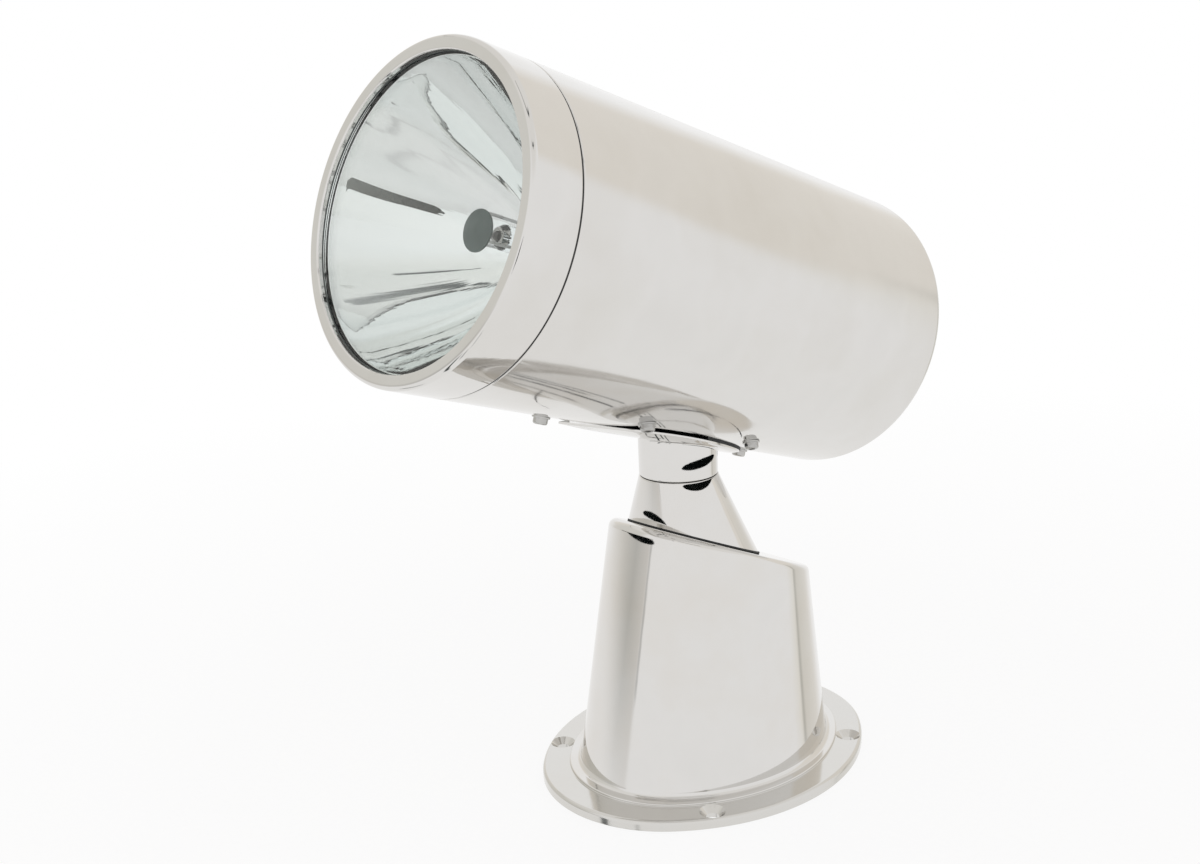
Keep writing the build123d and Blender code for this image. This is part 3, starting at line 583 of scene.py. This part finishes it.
# A cutter reaches past the flange below and above
UNDER, OVER = -1 * MM, 0.3 * MM
sink = FLANGE_T - (SINK_R - HOLE_R)
hole = [(r / MM, z / MM, 0) for r, z in (
    (0, UNDER), (HOLE_R, UNDER), (HOLE_R, sink), (SINK_R, FLANGE_T),
    (SINK_R + OVER, FLANGE_T + OVER), (0, FLANGE_T + OVER))]
cutters = []
for turn in (45, 135, 225, 315):
    heading = math.radians(turn)
    centre = (DECK_PCD / 2 * math.cos(heading), DECK_PCD / 2 * math.sin(heading), 0)
    cutters.append(lathe(f"deck_hole_{turn}", hole, cast_steel, frame_matrix(centre, UP),
                         closed=False, count=64))
cut(pedestal, cutters)
pedestal.data.set_sharp_from_angle(angle=CREASE)
print("four holes cut,", len(pedestal.data.polygons), "faces")

# %% [markdown]
# Inside the casting, three pillars carry the lower gearmotor's bracket and four bosses take
# the screws of the bottom plate.

# %% Pillars and bosses inside the casting
def join(body, others):
    """Put other meshes into one object, as separate closed shells."""
    with bpy.context.temp_override(active_object=body,
                                   selected_editable_objects=[body, *others]):
        bpy.ops.object.join()


def post(name, at, radius, low, high, low_edge, high_edge):
    """Round post between two heights of a frame, with rounded ends, in millimetres."""
    return lathe(name, [(0, low, 0), (radius, low, low_edge), (radius, high, high_edge),
                        (0, high, 0)], cast_steel, at, closed=False, count=48)


posts = []
for x, y in ((-21.8, 31.13), (21.8, 31.13), (0, 56.0)):
    at = np.array(TILT)
    at[:3, 3] = place([[x * MM, y * MM, 0]], TILT)[0]
    posts.append(post("pillar", at, 4, -17, -4, 0.3, 0))
for x in (-38, 38):
    for y in (-38.02, 38.02):
        at = frame_matrix((x * MM, y * MM, 0), UP)
        posts.append(post("boss", at, 4.5, 2.82, 16, 0.3, 0.5))
join(pedestal, posts)
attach(pedestal, "pedestal")
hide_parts("base_casting")
print("added", len(posts), "pillars and bosses")

# %% [markdown]
# ## The turning cone
#
# The cone sits askew: its foot is a circle on the sloping plane and its neck is a smaller
# level circle further back, so one side is long and the other short. It carries a hollow
# spindle below and a hollow stem above, and the lamp's wires pass through both.

# %% The cone with its spindle and stem
def ring_in(matrix, radius, z):
    """Circle in a local frame, in millimetres."""
    return place(circle(radius * MM, z * MM), matrix)


# In millimetres: radii of the cone's ends, spindle, stem and bores, then their heights
CONE_R, NECK_R, SPINDLE_R, STEM_R, SPINDLE_BORE, STEM_BORE = 33, 19, 12, 9, 7, 5.5
CONE_FOOT, SPINDLE_END, STEM_END = 0.45, -17.5, 45
STEM_BORE_END, SPINDLE_BORE_END = -20, 20.45
cone_foot, cone_neck = ring_in(TILT, CONE_R, CONE_FOOT), ring_in(COLLAR, NECK_R, 0)
cone = shell("turning_cone_shell", [
    (cone_foot, 0.5),
    *[(ring, 0) for ring in mix_rings(cone_foot, cone_neck, 16)[1:-1]],
    (cone_neck, 0.5),
    (ring_in(COLLAR, STEM_R, 0), 0.2),
    (ring_in(COLLAR, STEM_R, STEM_END), 0.4),
    (ring_in(COLLAR, STEM_BORE, STEM_END), 0),
    (ring_in(COLLAR, STEM_BORE, STEM_BORE_END), 0),
    (ring_in(TILT, SPINDLE_BORE, SPINDLE_BORE_END), 0),
    (ring_in(TILT, SPINDLE_BORE, SPINDLE_END), 0),
    (ring_in(TILT, SPINDLE_R, SPINDLE_END), 0.4),
    (ring_in(TILT, SPINDLE_R, CONE_FOOT), 0),
], cast_steel)
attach(cone, "cone")
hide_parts("turning_cone")
print("the cone has", len(cone.data.polygons), "faces")

# %% [markdown]
# A black lip seal closes the narrow gap under the cone's foot. It shows as a dark line
# round the foot, and it doubles in the mirror of the sloping face.

# %% Lip seal under the cone
lip = lathe("cone_lip_seal", [
    (28, 0.06, 0), (33.3, 0.06, 0.2), (33.3, 0.95, 0.3), (32.4, 1.05, 0), (32.0, 0.6, 0),
    (28, 0.44, 0)], rubber, TILT)
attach(lip, "cone")
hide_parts("face_seal")
print("the lip seal has", len(lip.data.polygons), "faces")

# %% [markdown]
# ## The collar and its saddle
#
# The upright collar ends in a thin saddle that wraps the underside of the tube. The collar's
# wall is cut off by a cylinder, so each point of its top ring is found by going straight up
# to that cylinder. From there the rings spread over the cylinder to the saddle's oval edge.

# %% Rings on the tube's underside
# The saddle's middle along the head, half its length, and half its width
SADDLE_S, SADDLE_A, SADDLE_B = 157.0 * MM, 59.95 * MM, 22.0 * MM
down = HEAD[:3, 1]


def up_to_tube(radius, tube_radius):
    """Ring of an upright round wall where it meets a cylinder about the head's axis."""
    ring = place(circle(radius), COLLAR)
    fall = (ring - HEAD[:3, 3]) @ down
    ring[:, 2] += (np.sqrt(tube_radius ** 2 - ring[:, 0] ** 2) - fall) / down[2]
    return ring


def on_cylinder(x, s, tube_radius):
    """Points on the underside of a cylinder about the head's axis."""
    local = np.stack([x, np.sqrt(tube_radius ** 2 - x ** 2), s], axis=1)
    return place(local, HEAD)


def spread_over(ring, tube_radius, shares, grow=0.0):
    """Rings over the cylinder, from a ring on it to the saddle's edge, grown outwards."""
    local = (ring - HEAD[:3, 3]) @ HEAD[:3, :3]
    a, b = SADDLE_A + grow, SADDLE_B + grow
    heading = np.arctan2((local[:, 2] - SADDLE_S) / a, local[:, 0] / b)
    edge_x, edge_s = b * np.cos(heading), SADDLE_S + a * np.sin(heading)
    return [on_cylinder(local[:, 0] + (edge_x - local[:, 0]) * k,
                        local[:, 2] + (edge_s - local[:, 2]) * k, tube_radius)
            for k in shares]


# In millimetres: the bore, the boss inside the tube, the recess and the skirt's lip
COLLAR_BORE, BOSS_R, BOSS_TOP, RECESS_R, RECESS_TOP = 12.02, 14, 34, 14.5, 1.5
LIP_R, LIP_TOP, LIP_FOOT = 18.5, 1, 0.4
# The saddle's two faces, and how it thins from share to share of the way to its edge
above, under = TUBE_R + 1.0 * MM, TUBE_R + 2.8 * MM
thinning = ((0.55, 2.8), (0.65, 2.75), (0.75, 2.6), (0.85, 2.35), (0.93, 2.1), (1.0, 1.9))
neck_foot = ring_in(COLLAR, NECK_R, LIP_FOOT)
neck_top = up_to_tube(NECK_R * MM, under)
outward = [ring for share, depth in thinning
           for ring in spread_over(neck_top, TUBE_R + depth * MM, (share,))]
inward = spread_over(neck_top, above, (1.0, 0.8, 0.6, 0.4, 0.2, 0.0))
collar = shell("collar_shell", [
    (neck_foot, 0.6),
    *[(ring, 0) for ring in mix_rings(neck_foot, neck_top, 6)[1:-1]],
    (neck_top, 1.3),
    *[(ring, 0) for ring in outward[:-1]],
    (outward[-1], 0.35),
    *[(ring, 0) for ring in inward],
    (up_to_tube(BOSS_R * MM, above), 0),
    (ring_in(COLLAR, BOSS_R, BOSS_TOP), 0.3),
    (ring_in(COLLAR, COLLAR_BORE, BOSS_TOP), 0),
    (ring_in(COLLAR, COLLAR_BORE, RECESS_TOP), 0),
    (ring_in(COLLAR, RECESS_R, RECESS_TOP), 0), (ring_in(COLLAR, RECESS_R, LIP_TOP), 0),
    (ring_in(COLLAR, LIP_R, LIP_TOP), 0), (ring_in(COLLAR, LIP_R, LIP_FOOT), 0),
], turned_steel)
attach(collar, "head")
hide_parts("neck_collar")
print("the collar has", len(collar.data.polygons), "faces")

# %% [markdown]
# Between the saddle and the tube lies a thin black gasket. It follows the same oval and
# stands a little proud of it, so that its edge shows as a fine dark line all round.

# %% Saddle gasket
GASKET_HOLE, CLEAR, PROUD = 14.4 * MM, 0.02 * MM, 0.3 * MM
hole_low = up_to_tube(GASKET_HOLE, TUBE_R + CLEAR)
hole_high = up_to_tube(GASKET_HOLE, above - CLEAR)
gasket = skin("saddle_gasket_skin", [
    hole_low, *spread_over(hole_low, TUBE_R + CLEAR, (0.25, 0.5, 0.75, 1.0), PROUD),
    *spread_over(hole_high, above - CLEAR, (1.0, 0.75, 0.5, 0.25), PROUD), hole_high],
    rubber, closed=True)
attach(gasket, "head")
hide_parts("saddle_gasket")
print("the gasket has", len(gasket.data.polygons), "faces")

# %% [markdown]
# ## Tube, bezel and lens
#
# These are lathe work. The tube is drawn in one piece with a softly rounded closed back. A
# heavier bezel ring slides over its front and clamps the glass with a flat rubber ring.
# The profiles are lists of radius, distance from the front, and rounding, in millimetres.

# %% Turned pieces of the head
def turned(name, profile, finish, node, closed=True, count=AROUND):
    """Turn a profile given in millimetres, and let it replace a piece of the head."""
    made = lathe(name, profile, finish, closed=closed, count=count)
    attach(made, "head")
    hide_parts(node)
    print(name, "has", len(made.data.polygons), "faces")


tube_side = [(70, 25.4 + k * 27, 0) for k in range(1, 9)]
turned("tube_shell", [
    (0, 270.5, 0), (68, 270.5, 0), (68, 31.4, 0), (65.28, 31.4, 0), (65.28, 8.02, 0),
    (67.28, 8.02, 0), (67.28, 25.4, 0), (70, 25.4, 0.5), *tube_side, (70, 272.5, 4),
    (20, 272.5, 0), (0, 272.5, 0)], drawn_steel, "head_tube", closed=False)
turned("bezel_shell", [
    (63.7, 2.4, 0), (63.7, 0, 0.9), (70, 0, 2.2), (70, 24.6, 0.5), (67.3, 24.6, 0),
    (67.3, 2.4, 0)], turned_steel, "bezel_ring")
turned("lens_seal", [
    (63.45, 2.42, 0.1), (65.45, 2.42, 0), (65.45, 2.98, 0), (63.45, 2.98, 0.1)],
    grey_rubber, "lens_gasket")
turned("lens_pane", [
    (0, 3.02, 0), (65.48, 3.02, 0.3), (65.48, 6.98, 0.3), (0, 6.98, 0)],
    glass, "lens_glass", closed=False)

# %% [markdown]
# The reflector is a paraboloid, r squared over four times the focal length, so its rings are
# worked out and not drawn. Its rim is rolled outwards and clamped behind the glass.

# %% Reflector
# In millimetres: focal length, place of the apex, radii of neck hole and mouth, thickness
FOCAL, APEX, NECK_HOLE, MOUTH, SHEET = 15.5, 71.536, 13.0, 63.0, 1.4


def bowl(shift):
    """Profile of the paraboloid from the neck to the mouth, in millimetres."""
    radii = np.linspace(NECK_HOLE, MOUTH, 51)
    return [(r, APEX + shift - r * r / (4 * FOCAL), 0) for r in radii]


turned("reflector_bowl", [
    *bowl(0)[:-1], (63, 7.02, 0.4), (66.7, 7.02, 0.2), (66.7, 8.0, 0.2), (63.8, 8.0, 0),
    *bowl(SHEET)[::-1][1:], (14.4, 74.8, 0), (13, 74.8, 0)],
    reflector_mirror, "reflector")

# %% [markdown]
# ## The lamp and its glare disc
#
# A small capsule lamp stands in a ceramic holder at the focus. In front of it a bowed,
# painted disc on three bent wires stops direct light, so that only the beam leaves the
# head. The wires are curves with a round bevel, made into a mesh.

# %% Lamp, holder and disc
turned("lamp_capsule", [
    (0, 45.35, 0), (3.6, 45.7, 1.5), (5.55, 49.1, 2.5), (5.55, 64.1, 1.5),
    (3.15, 66.1, 0.6), (3.15, 74.5, 0), (0, 74.5, 0)],
    quartz, "lamp_bulb", closed=False, count=64)
DISC_R, DISC_BOW = 9.0, 1.4
disc_front = [(r, 34.0 + DISC_BOW * (r / DISC_R) ** 2, 0) for r in (0, 2.2, 4.4, 6.6)]
disc_back = [(r, 35.2 + DISC_BOW * (r / DISC_R) ** 2 * 0.9, 0) for r in (6.6, 4.4, 2.2, 0)]
turned("glare_disc", [
    *disc_front, (DISC_R, 35.4, 0.4), (DISC_R, 36.55, 0.4), *disc_back],
    shield_paint, "glare_shield", closed=False, count=96)


# A wire's course: distance from the head's axis and from its front, in millimetres
WIRE_ROUTE = [(7.9, 36.1), (7.9, 39.0), (8.0, 44.5), (7.6, 50.5), (7.6, 68.8)]


def bent_wires(name, finish, radius):
    """Three bent wires from the disc's rim back to the lamp holder."""
    line = bpy.data.curves.new(name, "CURVE")
    line.dimensions = "3D"
    line.bevel_depth = radius
    line.bevel_resolution = 4
    line.use_fill_caps = True
    line.resolution_u = 8
    for turn in (30, 150, 270):
        heading = math.radians(turn)
        local = [(r * MM * math.cos(heading), r * MM * math.sin(heading), s * MM)
                 for r, s in WIRE_ROUTE]
        path = line.splines.new("NURBS")
        path.points.add(len(WIRE_ROUTE) - 1)
        for point, at in zip(path.points, place(local, HEAD)):
            point.co = (*at, 1)
        path.order_u = 3
        path.use_endpoint_u = True
    draft = add_object(name, line)
    graph = bpy.context.evaluated_depsgraph_get()
    mesh = bpy.data.meshes.new_from_object(draft.evaluated_get(graph))
    bpy.data.objects.remove(draft)
    mesh.materials.clear()
    mesh.materials.append(finish)
    face_out(mesh)
    mesh.shade_smooth()
    return add_object(name, mesh)


wires = bent_wires("disc_wires", plain_steel, 0.7 * MM)
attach(wires, "head")
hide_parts("glare_shield")
print("the wires have", len(wires.data.polygons), "faces")

# %% [markdown]
# ## Cap screws under the tube
#
# Six cap screws with washers hold the tube on the chassis inside. One screw is made as a
# skin whose socket rings are six-sided. A Geometry Nodes tree then puts a copy on every
# seat, stands it along the seat's direction and turns each socket a little differently, as
# a hand-tightened row is.

# %% One cap screw with its washer
SCREW_POINTS = 96


def six_sided(reach, z):
    """Hexagon given by the distance across its flats, in millimetres."""
    a = np.arange(SCREW_POINTS) * 2 * math.pi / SCREW_POINTS
    radius = reach * MM / 2 / np.cos((a + math.pi / 6) % (math.pi / 3) - math.pi / 6)
    return np.stack([radius * np.cos(a), radius * np.sin(a),
                     np.full(SCREW_POINTS, z * MM)], axis=1)


def round_ring(radius, z):
    """Circle with as many points as the hexagon, in millimetres."""
    return circle(radius * MM, z * MM, SCREW_POINTS)


def cap_screw(finish):
    """Socket cap screw on its washer, standing on Z = 0, its shank below."""
    head, top, flats, shank, end = 3.3, 3.6, 3.0, 2.4, -5.0
    washer, washer_top, washer_foot = 4.1, 0.8, 0.02
    return shell("cap_screw", [
        (round_ring(0, 1.6), 0), (six_sided(2.6, 1.8), 0), (six_sided(flats, 2.1), 0),
        (six_sided(flats, top), 0.15), (round_ring(head, top), 1.0),
        (round_ring(head, washer_top), 0.1), (round_ring(washer, washer_top), 0.25),
        (round_ring(washer, washer_foot), 0), (round_ring(shank, washer_foot), 0),
        (round_ring(shank, end), 0.4), (round_ring(0, end), 0)], finish, closed=False)


screw = cap_screw(screw_steel)
print("one screw has", len(screw.data.polygons), "faces")

# %% A tree that sets a copy on every seat
def seat_tree():
    """Geometry Nodes: copies of an object on points, along a stored direction."""
    tree = bpy.data.node_groups.new("screws_on_seats", "GeometryNodeTree")
    sockets = {"Seats": "Geometry", "Screw": "Object", "Size": "Float", "Turn": "Float",
               "Seed": "Int", "Finish": "Material"}
    for label, kind in sockets.items():
        tree.interface.new_socket(label, in_out="INPUT", socket_type="NodeSocket" + kind)
    tree.interface.new_socket("Screws", in_out="OUTPUT", socket_type="NodeSocketGeometry")

    def node(kind, settings=None, inputs=None):
        made = tree.nodes.new(kind)
        for name, value in (settings or {}).items():
            setattr(made, name, value)
        for name, value in (inputs or {}).items():
            if isinstance(value, bpy.types.NodeSocket):
                tree.links.new(value, made.inputs[name])
            else:
                made.inputs[name].default_value = value
        return made

    given = node("NodeGroupInput").outputs
    facing = node("GeometryNodeInputNamedAttribute", {"data_type": "FLOAT_VECTOR"},
                  {"Name": "facing"}).outputs["Attribute"]
    upright = node("FunctionNodeAlignRotationToVector", {"axis": "Z"}, {"Vector": facing})
    spin = node("FunctionNodeRandomValue", {"data_type": "FLOAT"},
                {2: 0.0, 3: given["Turn"], "Seed": given["Seed"]}).outputs[1]
    about = node("ShaderNodeCombineXYZ", None, {"Z": spin}).outputs[0]
    turned_by = node("FunctionNodeRotateRotation", {"rotation_space": "LOCAL"}, {
        "Rotation": upright.outputs[0], "Rotate By": about}).outputs[0]
    copy = node("GeometryNodeObjectInfo", {"transform_space": "ORIGINAL"},
                {"Object": given["Screw"], "As Instance": True}).outputs["Geometry"]
    size = node("ShaderNodeCombineXYZ", None, {
        "X": given["Size"], "Y": given["Size"], "Z": given["Size"]}).outputs[0]
    copies = node("GeometryNodeInstanceOnPoints", None, {
        "Points": given["Seats"], "Instance": copy, "Rotation": turned_by,
        "Scale": size}).outputs[0]
    solid = node("GeometryNodeRealizeInstances", None, {"Geometry": copies}).outputs[0]
    dressed = node("GeometryNodeSetMaterial", None, {
        "Geometry": solid, "Material": given["Finish"]}).outputs[0]
    node("NodeGroupOutput", None, {"Screws": dressed})
    return tree


tree = seat_tree()
print("the tree has", len(tree.nodes), "nodes")

# %% Screws on their seats
def seats(name, places, directions):
    """Mesh of loose points, each with the direction that its screw stands along."""
    mesh = bpy.data.meshes.new(name)
    mesh.from_pydata([tuple(p) for p in places], [], [])
    facing = mesh.attributes.new("facing", "FLOAT_VECTOR", "POINT")
    facing.data.foreach_set("vector", np.ravel(directions))
    return add_object(name, mesh)


# Distance from the head's front in millimetres, and degrees from the underside's middle
row = [(86.35, 0), (222.25, 0)] + [(s, t * 22) for s in (125, 198) for t in (-1, 1)]
local = [(-math.sin(math.radians(t)), math.cos(math.radians(t)), 0) for _, t in row]
outward_ways = np.array(local) @ HEAD[:3, :3].T
seat_places = place([(70 * MM * x, 70 * MM * y, s * MM)
                     for (x, y, _), (s, _) in zip(local, row)], HEAD)
screws = seats("tube_screws", seat_places, outward_ways)
change = screws.modifiers.new("screws", "NODES")
change.node_group = tree
values = {"Screw": screw, "Size": 1.0, "Turn": 1.0, "Seed": 7, "Finish": screw_steel}
for item in tree.interface.items_tree:
    if item.in_out == "INPUT" and item.name in values:
        change[item.identifier] = values[item.name]
settle(screws)
bpy.data.objects.remove(screw)
screws.data.set_sharp_from_angle(angle=CREASE)
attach(screws, "head")
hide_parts("chassis_screws")
print("the six screws have", len(screws.data.polygons), "faces")

# %% [markdown]
# ## Finishes for the other pieces
#
# The remaining pieces keep the construction's own meshes: seals, gears, motors, boards and
# brackets. Each gets the finish of its material slot.

# %% One finish for each slot
finishes = {
    "polished_steel": drawn_steel, "black_rubber": rubber, "clear_glass": glass,
    "lamp_quartz": quartz, "reflector_mirror": reflector_mirror,
    "shield_paint": shield_paint, "holder_ceramic": ceramic, "plain_steel": plain_steel,
    "bearing_bronze": bronze, "gear_steel": gear_steel, "motor_case": motor_steel,
    "cast_aluminium": aluminium, "white_nylon": nylon, "board_laminate": laminate,
}
for made in nodes.values():
    slot = made.data.materials[0].name
    made.data.materials.clear()
    made.data.materials.append(finishes[slot])
print("dressed", len(nodes), "pieces of the construction")

# %% [markdown]
# ## Studio
#
# A mirror has no colour of its own: it looks like what stands round it. So the studio is a
# tent, planned as tones by direction. Its wall has a low and a high part, both pale towards
# the camera. Low down it is grey on the left and beige on the right, which gives the
# pedestal its darker flanks. High up it is grey on the left, beige on the right and white
# behind, which tones the sides of the tube. A warm cloth hangs overhead, the ground is pale,
# and a few dark poles and hems draw the thin dark lines. The camera itself sees plain white.

# %% The tent round the object
world = bpy.data.worlds.new("tent")
scene.world = world
world.use_nodes = True
w = Tree(world.node_tree)
SIDE_X, SIDE_Y = 0.7326, -0.6806
camera_side = Vector((SIDE_X, SIDE_Y, 0.0))
camera_right = Vector((-SIDE_Y, SIDE_X, 0.0))
heading = w.node("ShaderNodeTexCoord", output="Generated")


def reach_along(direction):
    """How far a ray's direction goes along another one, from -1 to 1."""
    return w.node("ShaderNodeVectorMath", {"operation": "DOT_PRODUCT"},
                  (heading, tuple(direction)), output="Value")


towards, sideways, height = map(reach_along, (camera_side, camera_right, UP))
bearing = w.node("ShaderNodeMath", {"operation": "ARCTAN2"}, (sideways, towards))
degrees = bearing * (180 / math.pi)


def soft_step(value, low, high):
    """Smooth step between two values, from 0 to 1."""
    return w.node("ShaderNodeMapRange", {"interpolation_type": "SMOOTHSTEP"},
                  (value, low, high, 0.0, 1.0))


def within(value, start, end, blur):
    """One between two values and nothing outside, with blurred edges."""
    return soft_step(value, start, start + blur) * (1 - soft_step(value, end - blur, end))


# Tones of the wall by bearing: degrees from the camera's side, to the right where positive
WHITE, PALE, BEIGE = (1.0, 1.0, 1.0), (0.94, 0.935, 0.93), (0.865, 0.83, 0.775)
GREY, DARK = (0.76, 0.75, 0.71), (0.05, 0.06, 0.06)
CEILING, GROUND = (0.86, 0.845, 0.82), (0.93, 0.925, 0.915)
LOW_WALL = [(-180, PALE), (-150, (0.93, 0.92, 0.90)), (-138, (0.80, 0.78, 0.74)),
            (-112, (0.73, 0.71, 0.67)), (-84, (0.56, 0.555, 0.53)), (-65, (0.70, 0.68, 0.65)),
            (-60, PALE), (98, PALE), (108, (0.88, 0.86, 0.81)), (111, (0.55, 0.54, 0.50)),
            (115, (0.76, 0.74, 0.69)), (135, (0.82, 0.80, 0.76)), (150, PALE), (180, PALE)]
HIGH_WALL = [(-180, WHITE), (-168, WHITE), (-156, BEIGE), (-128, GREY), (-80, GREY),
             (-70, PALE), (98, PALE), (102.5, BEIGE), (152, BEIGE), (164, WHITE), (180, WHITE)]
# Poles and hems: bearing from and to, height from and to (1 is overhead), and how dark
POLES = [(-64, -60, -0.1, 0.1, 0.3), (-66, -58, -0.93, -0.34, 0.97),
         (-46, -40, -0.82, -0.6, 0.95), (-33, -28, -0.74, -0.5, 0.9),
         (-110, -100, -0.86, -0.62, 0.7), (-80, 62, 0.930, 0.962, 0.97),
         (-20, 30, 0.79, 0.825, 0.95), (-170, -120, 0.60, 0.62, 0.7)]

# From a bearing to the ramp's 0 to 1, then the wall, which turns pale at its foot on the
# left, and the ceiling and ground by height
along = bearing * (0.5 / math.pi) + 0.5
low, high = [w.ramp(along, [((angle + 180) / 360, colour) for angle, colour in wall])
             for wall in (LOW_WALL, HIGH_WALL)]
left_foot = soft_step(height * -1.0, 0.06, 0.24) * (1 - soft_step(degrees, -20.0, 20.0))
tone = w.mix(soft_step(height, 0.02, 0.2), w.mix(left_foot, low, PALE), high)
tone = w.mix(soft_step(height, 0.55, 0.75), tone, CEILING)
tone = w.mix(soft_step(height * -1.0, 0.35, 0.55), tone, GROUND)
for start, end, bottom, top, depth in POLES:
    pole = within(degrees, start, end, 1.5) * within(height, bottom, top, 0.012) * depth
    tone = w.mix(pole, tone, DARK)
seen = w.node("ShaderNodeLightPath", output="Is Camera Ray")
shown = w.mix(seen, tone, WHITE)
lit = w.node("ShaderNodeBackground", inputs={"Color": shown, "Strength": 1.0})
w.node("ShaderNodeOutputWorld", inputs={"Surface": lit})
print("the tent is ready")

# %% [markdown]
# The floor is a pale matt sheet that fades into the white background. For the camera it
# mostly shines white, and just enough of the matt surface stays to show the shadow. It lies
# a hair below the flange, and no mirror sees it: the steel reflects the tent's ground.

# %% Floor
SHINE, FADE_FROM, FADE_TO = 0.86, 0.25, 0.9
bpy.ops.mesh.primitive_plane_add(size=8.0, location=(0, 0, -0.0004))
floor = bpy.context.object
floor.name = "pale_floor"
floor.visible_glossy = False
sheet = bpy.data.materials.new("pale_sheet")
sheet.use_nodes = True
f = Tree(sheet.node_tree)
seen = f.node("ShaderNodeLightPath", output="Is Camera Ray")
grain = f.noise(f.places(), 300.0, 2.0)
matt = f.node("ShaderNodeBsdfDiffuse", inputs={
    "Color": f.ramp(grain, [(0.4, (0.86, 0.85, 0.87)), (0.6, (0.89, 0.88, 0.90))])})
shine = f.node("ShaderNodeEmission", inputs={"Color": (1, 1, 1, 1), "Strength": 1.0})
away = f.node("ShaderNodeVectorMath", {"operation": "LENGTH"}, (f.places(),), output="Value")
far = f.node("ShaderNodeMapRange", inputs=(away, FADE_FROM, FADE_TO, 0.0, 1.0))
for_camera = seen * (SHINE + far * (1 - SHINE))
both = f.node("ShaderNodeMixShader", inputs=(for_camera, matt, shine))
f.node("ShaderNodeOutputMaterial", inputs={"Surface": both})
floor.data.materials.append(sheet)
print("floor made")

# %% [markdown]
# One large soft lamp stands beside the camera and gives the rubber, the paint and the glass
# a direction of light.

# %% Lamp
def panel(name, place_at, aim, width, height, radiance):
    """Rectangular soft lamp whose face shines as bright as a surface of this tone."""
    light = bpy.data.lights.new(name, "AREA")
    light.shape = "RECTANGLE"
    light.size, light.size_y = width, height
    light.energy = radiance * math.pi * width * height
    made = add_object(name, light)
    made.location = place_at
    made.visible_glossy = False
    made.visible_transmission = False
    made.rotation_euler = (Vector(aim) - Vector(place_at)).to_track_quat("-Z", "Y").to_euler()


panel("key_panel", (1.1, -0.9, 1.5), (0, 0, 0.2), width=1.0, height=1.0, radiance=1.0)
print("one lamp")

# %% [markdown]
# Polished steel needs something dark to reflect, or its edges drown in the white. So three
# small black cards stand close to the object: a bent one round the front and right of the
# collar, one at the left of the cone's foot, and one in front of the lens. The camera
# doesn't see them and they throw no shadow.

# %% Black cards
CARD_STEPS, CARD_TIP = 24, 0.05
card_black = bpy.data.materials.new("card_black")
card_black.use_nodes = True
c = Tree(card_black.node_tree)
soot = c.node("ShaderNodeBsdfDiffuse", inputs={"Color": (0.006, 0.008, 0.008, 1)})
c.node("ShaderNodeOutputMaterial", inputs={"Surface": soot})


def black_card(name, edges):
    """Thin black strip through pairs of lower and upper points, in millimetres."""
    mesh = bpy.data.meshes.new(name)
    points = [tuple(v * MM for v in p) for pair in edges for p in pair]
    mesh.from_pydata(points, [], [(2 * i, 2 * i + 2, 2 * i + 3, 2 * i + 1)
                                  for i in range(len(edges) - 1)])
    card = add_object(name, mesh)
    mesh.materials.append(card_black)
    card.visible_camera = card.visible_shadow = card.visible_diffuse = False


def bent_strip(centre, radius, start, end, low, high, half):
    """Upright strip on an arc between two bearings and heights, narrow at its tips."""
    edges = []
    for step in range(CARD_STEPS + 1):
        share = step / CARD_STEPS
        angle = math.radians(start + (end - start) * share)
        spot = Vector((*centre, low + (high - low) * share)) + radius * (
            math.cos(angle) * camera_side + math.sin(angle) * camera_right)
        reach = half * math.sqrt(max(0.0, 1 - (2 * share - 1) ** 2)) + CARD_TIP
        edges.append((spot - Vector((0, 0, reach)), spot + Vector((0, 0, reach))))
    return edges


black_card("collar_card", bent_strip(
    (1, -17), radius=34, start=6, end=98, low=152.3, high=155.2, half=2.2))
black_card("foot_card", bent_strip(
    (8, -24), radius=60, start=-106, end=-50, low=126.0, high=125.4, half=1.9))
black_card("lens_card", [
    ((71, -213, 273), (73, -212, 290)), ((80, -202, 279), (82, -201, 296))])
print("three cards")

# %% [markdown]
# ## Camera
#
# The photograph looks down a little, from the side of the lens, with a moderate lens and the
# object filling the frame. The camera's place and turn were worked out from points of the
# object in the photograph.

# %% Camera
PITCH, ROLL = 0.245, -0.043
CAMERA_PLACE = (0.440477, -0.473554, 0.330662)
ahead = Vector((-SIDE_X * math.cos(PITCH), -SIDE_Y * math.cos(PITCH), -math.sin(PITCH)))
below = ahead.cross(camera_right)
right = math.cos(ROLL) * camera_right - math.sin(ROLL) * below
lower = math.sin(ROLL) * camera_right + math.cos(ROLL) * below
stand = Matrix((right, -lower, -ahead)).transposed().to_4x4()
stand.translation = CAMERA_PLACE
lens = bpy.data.cameras.new("camera")
lens.lens, lens.sensor_width = 41.166, 36.0
lens.clip_start = 0.01
camera = add_object("camera", lens)
camera.matrix_world = stand
scene.camera = camera
scene.view_settings.view_transform = "Standard"
print("camera looks along", [round(v, 3) for v in ahead])
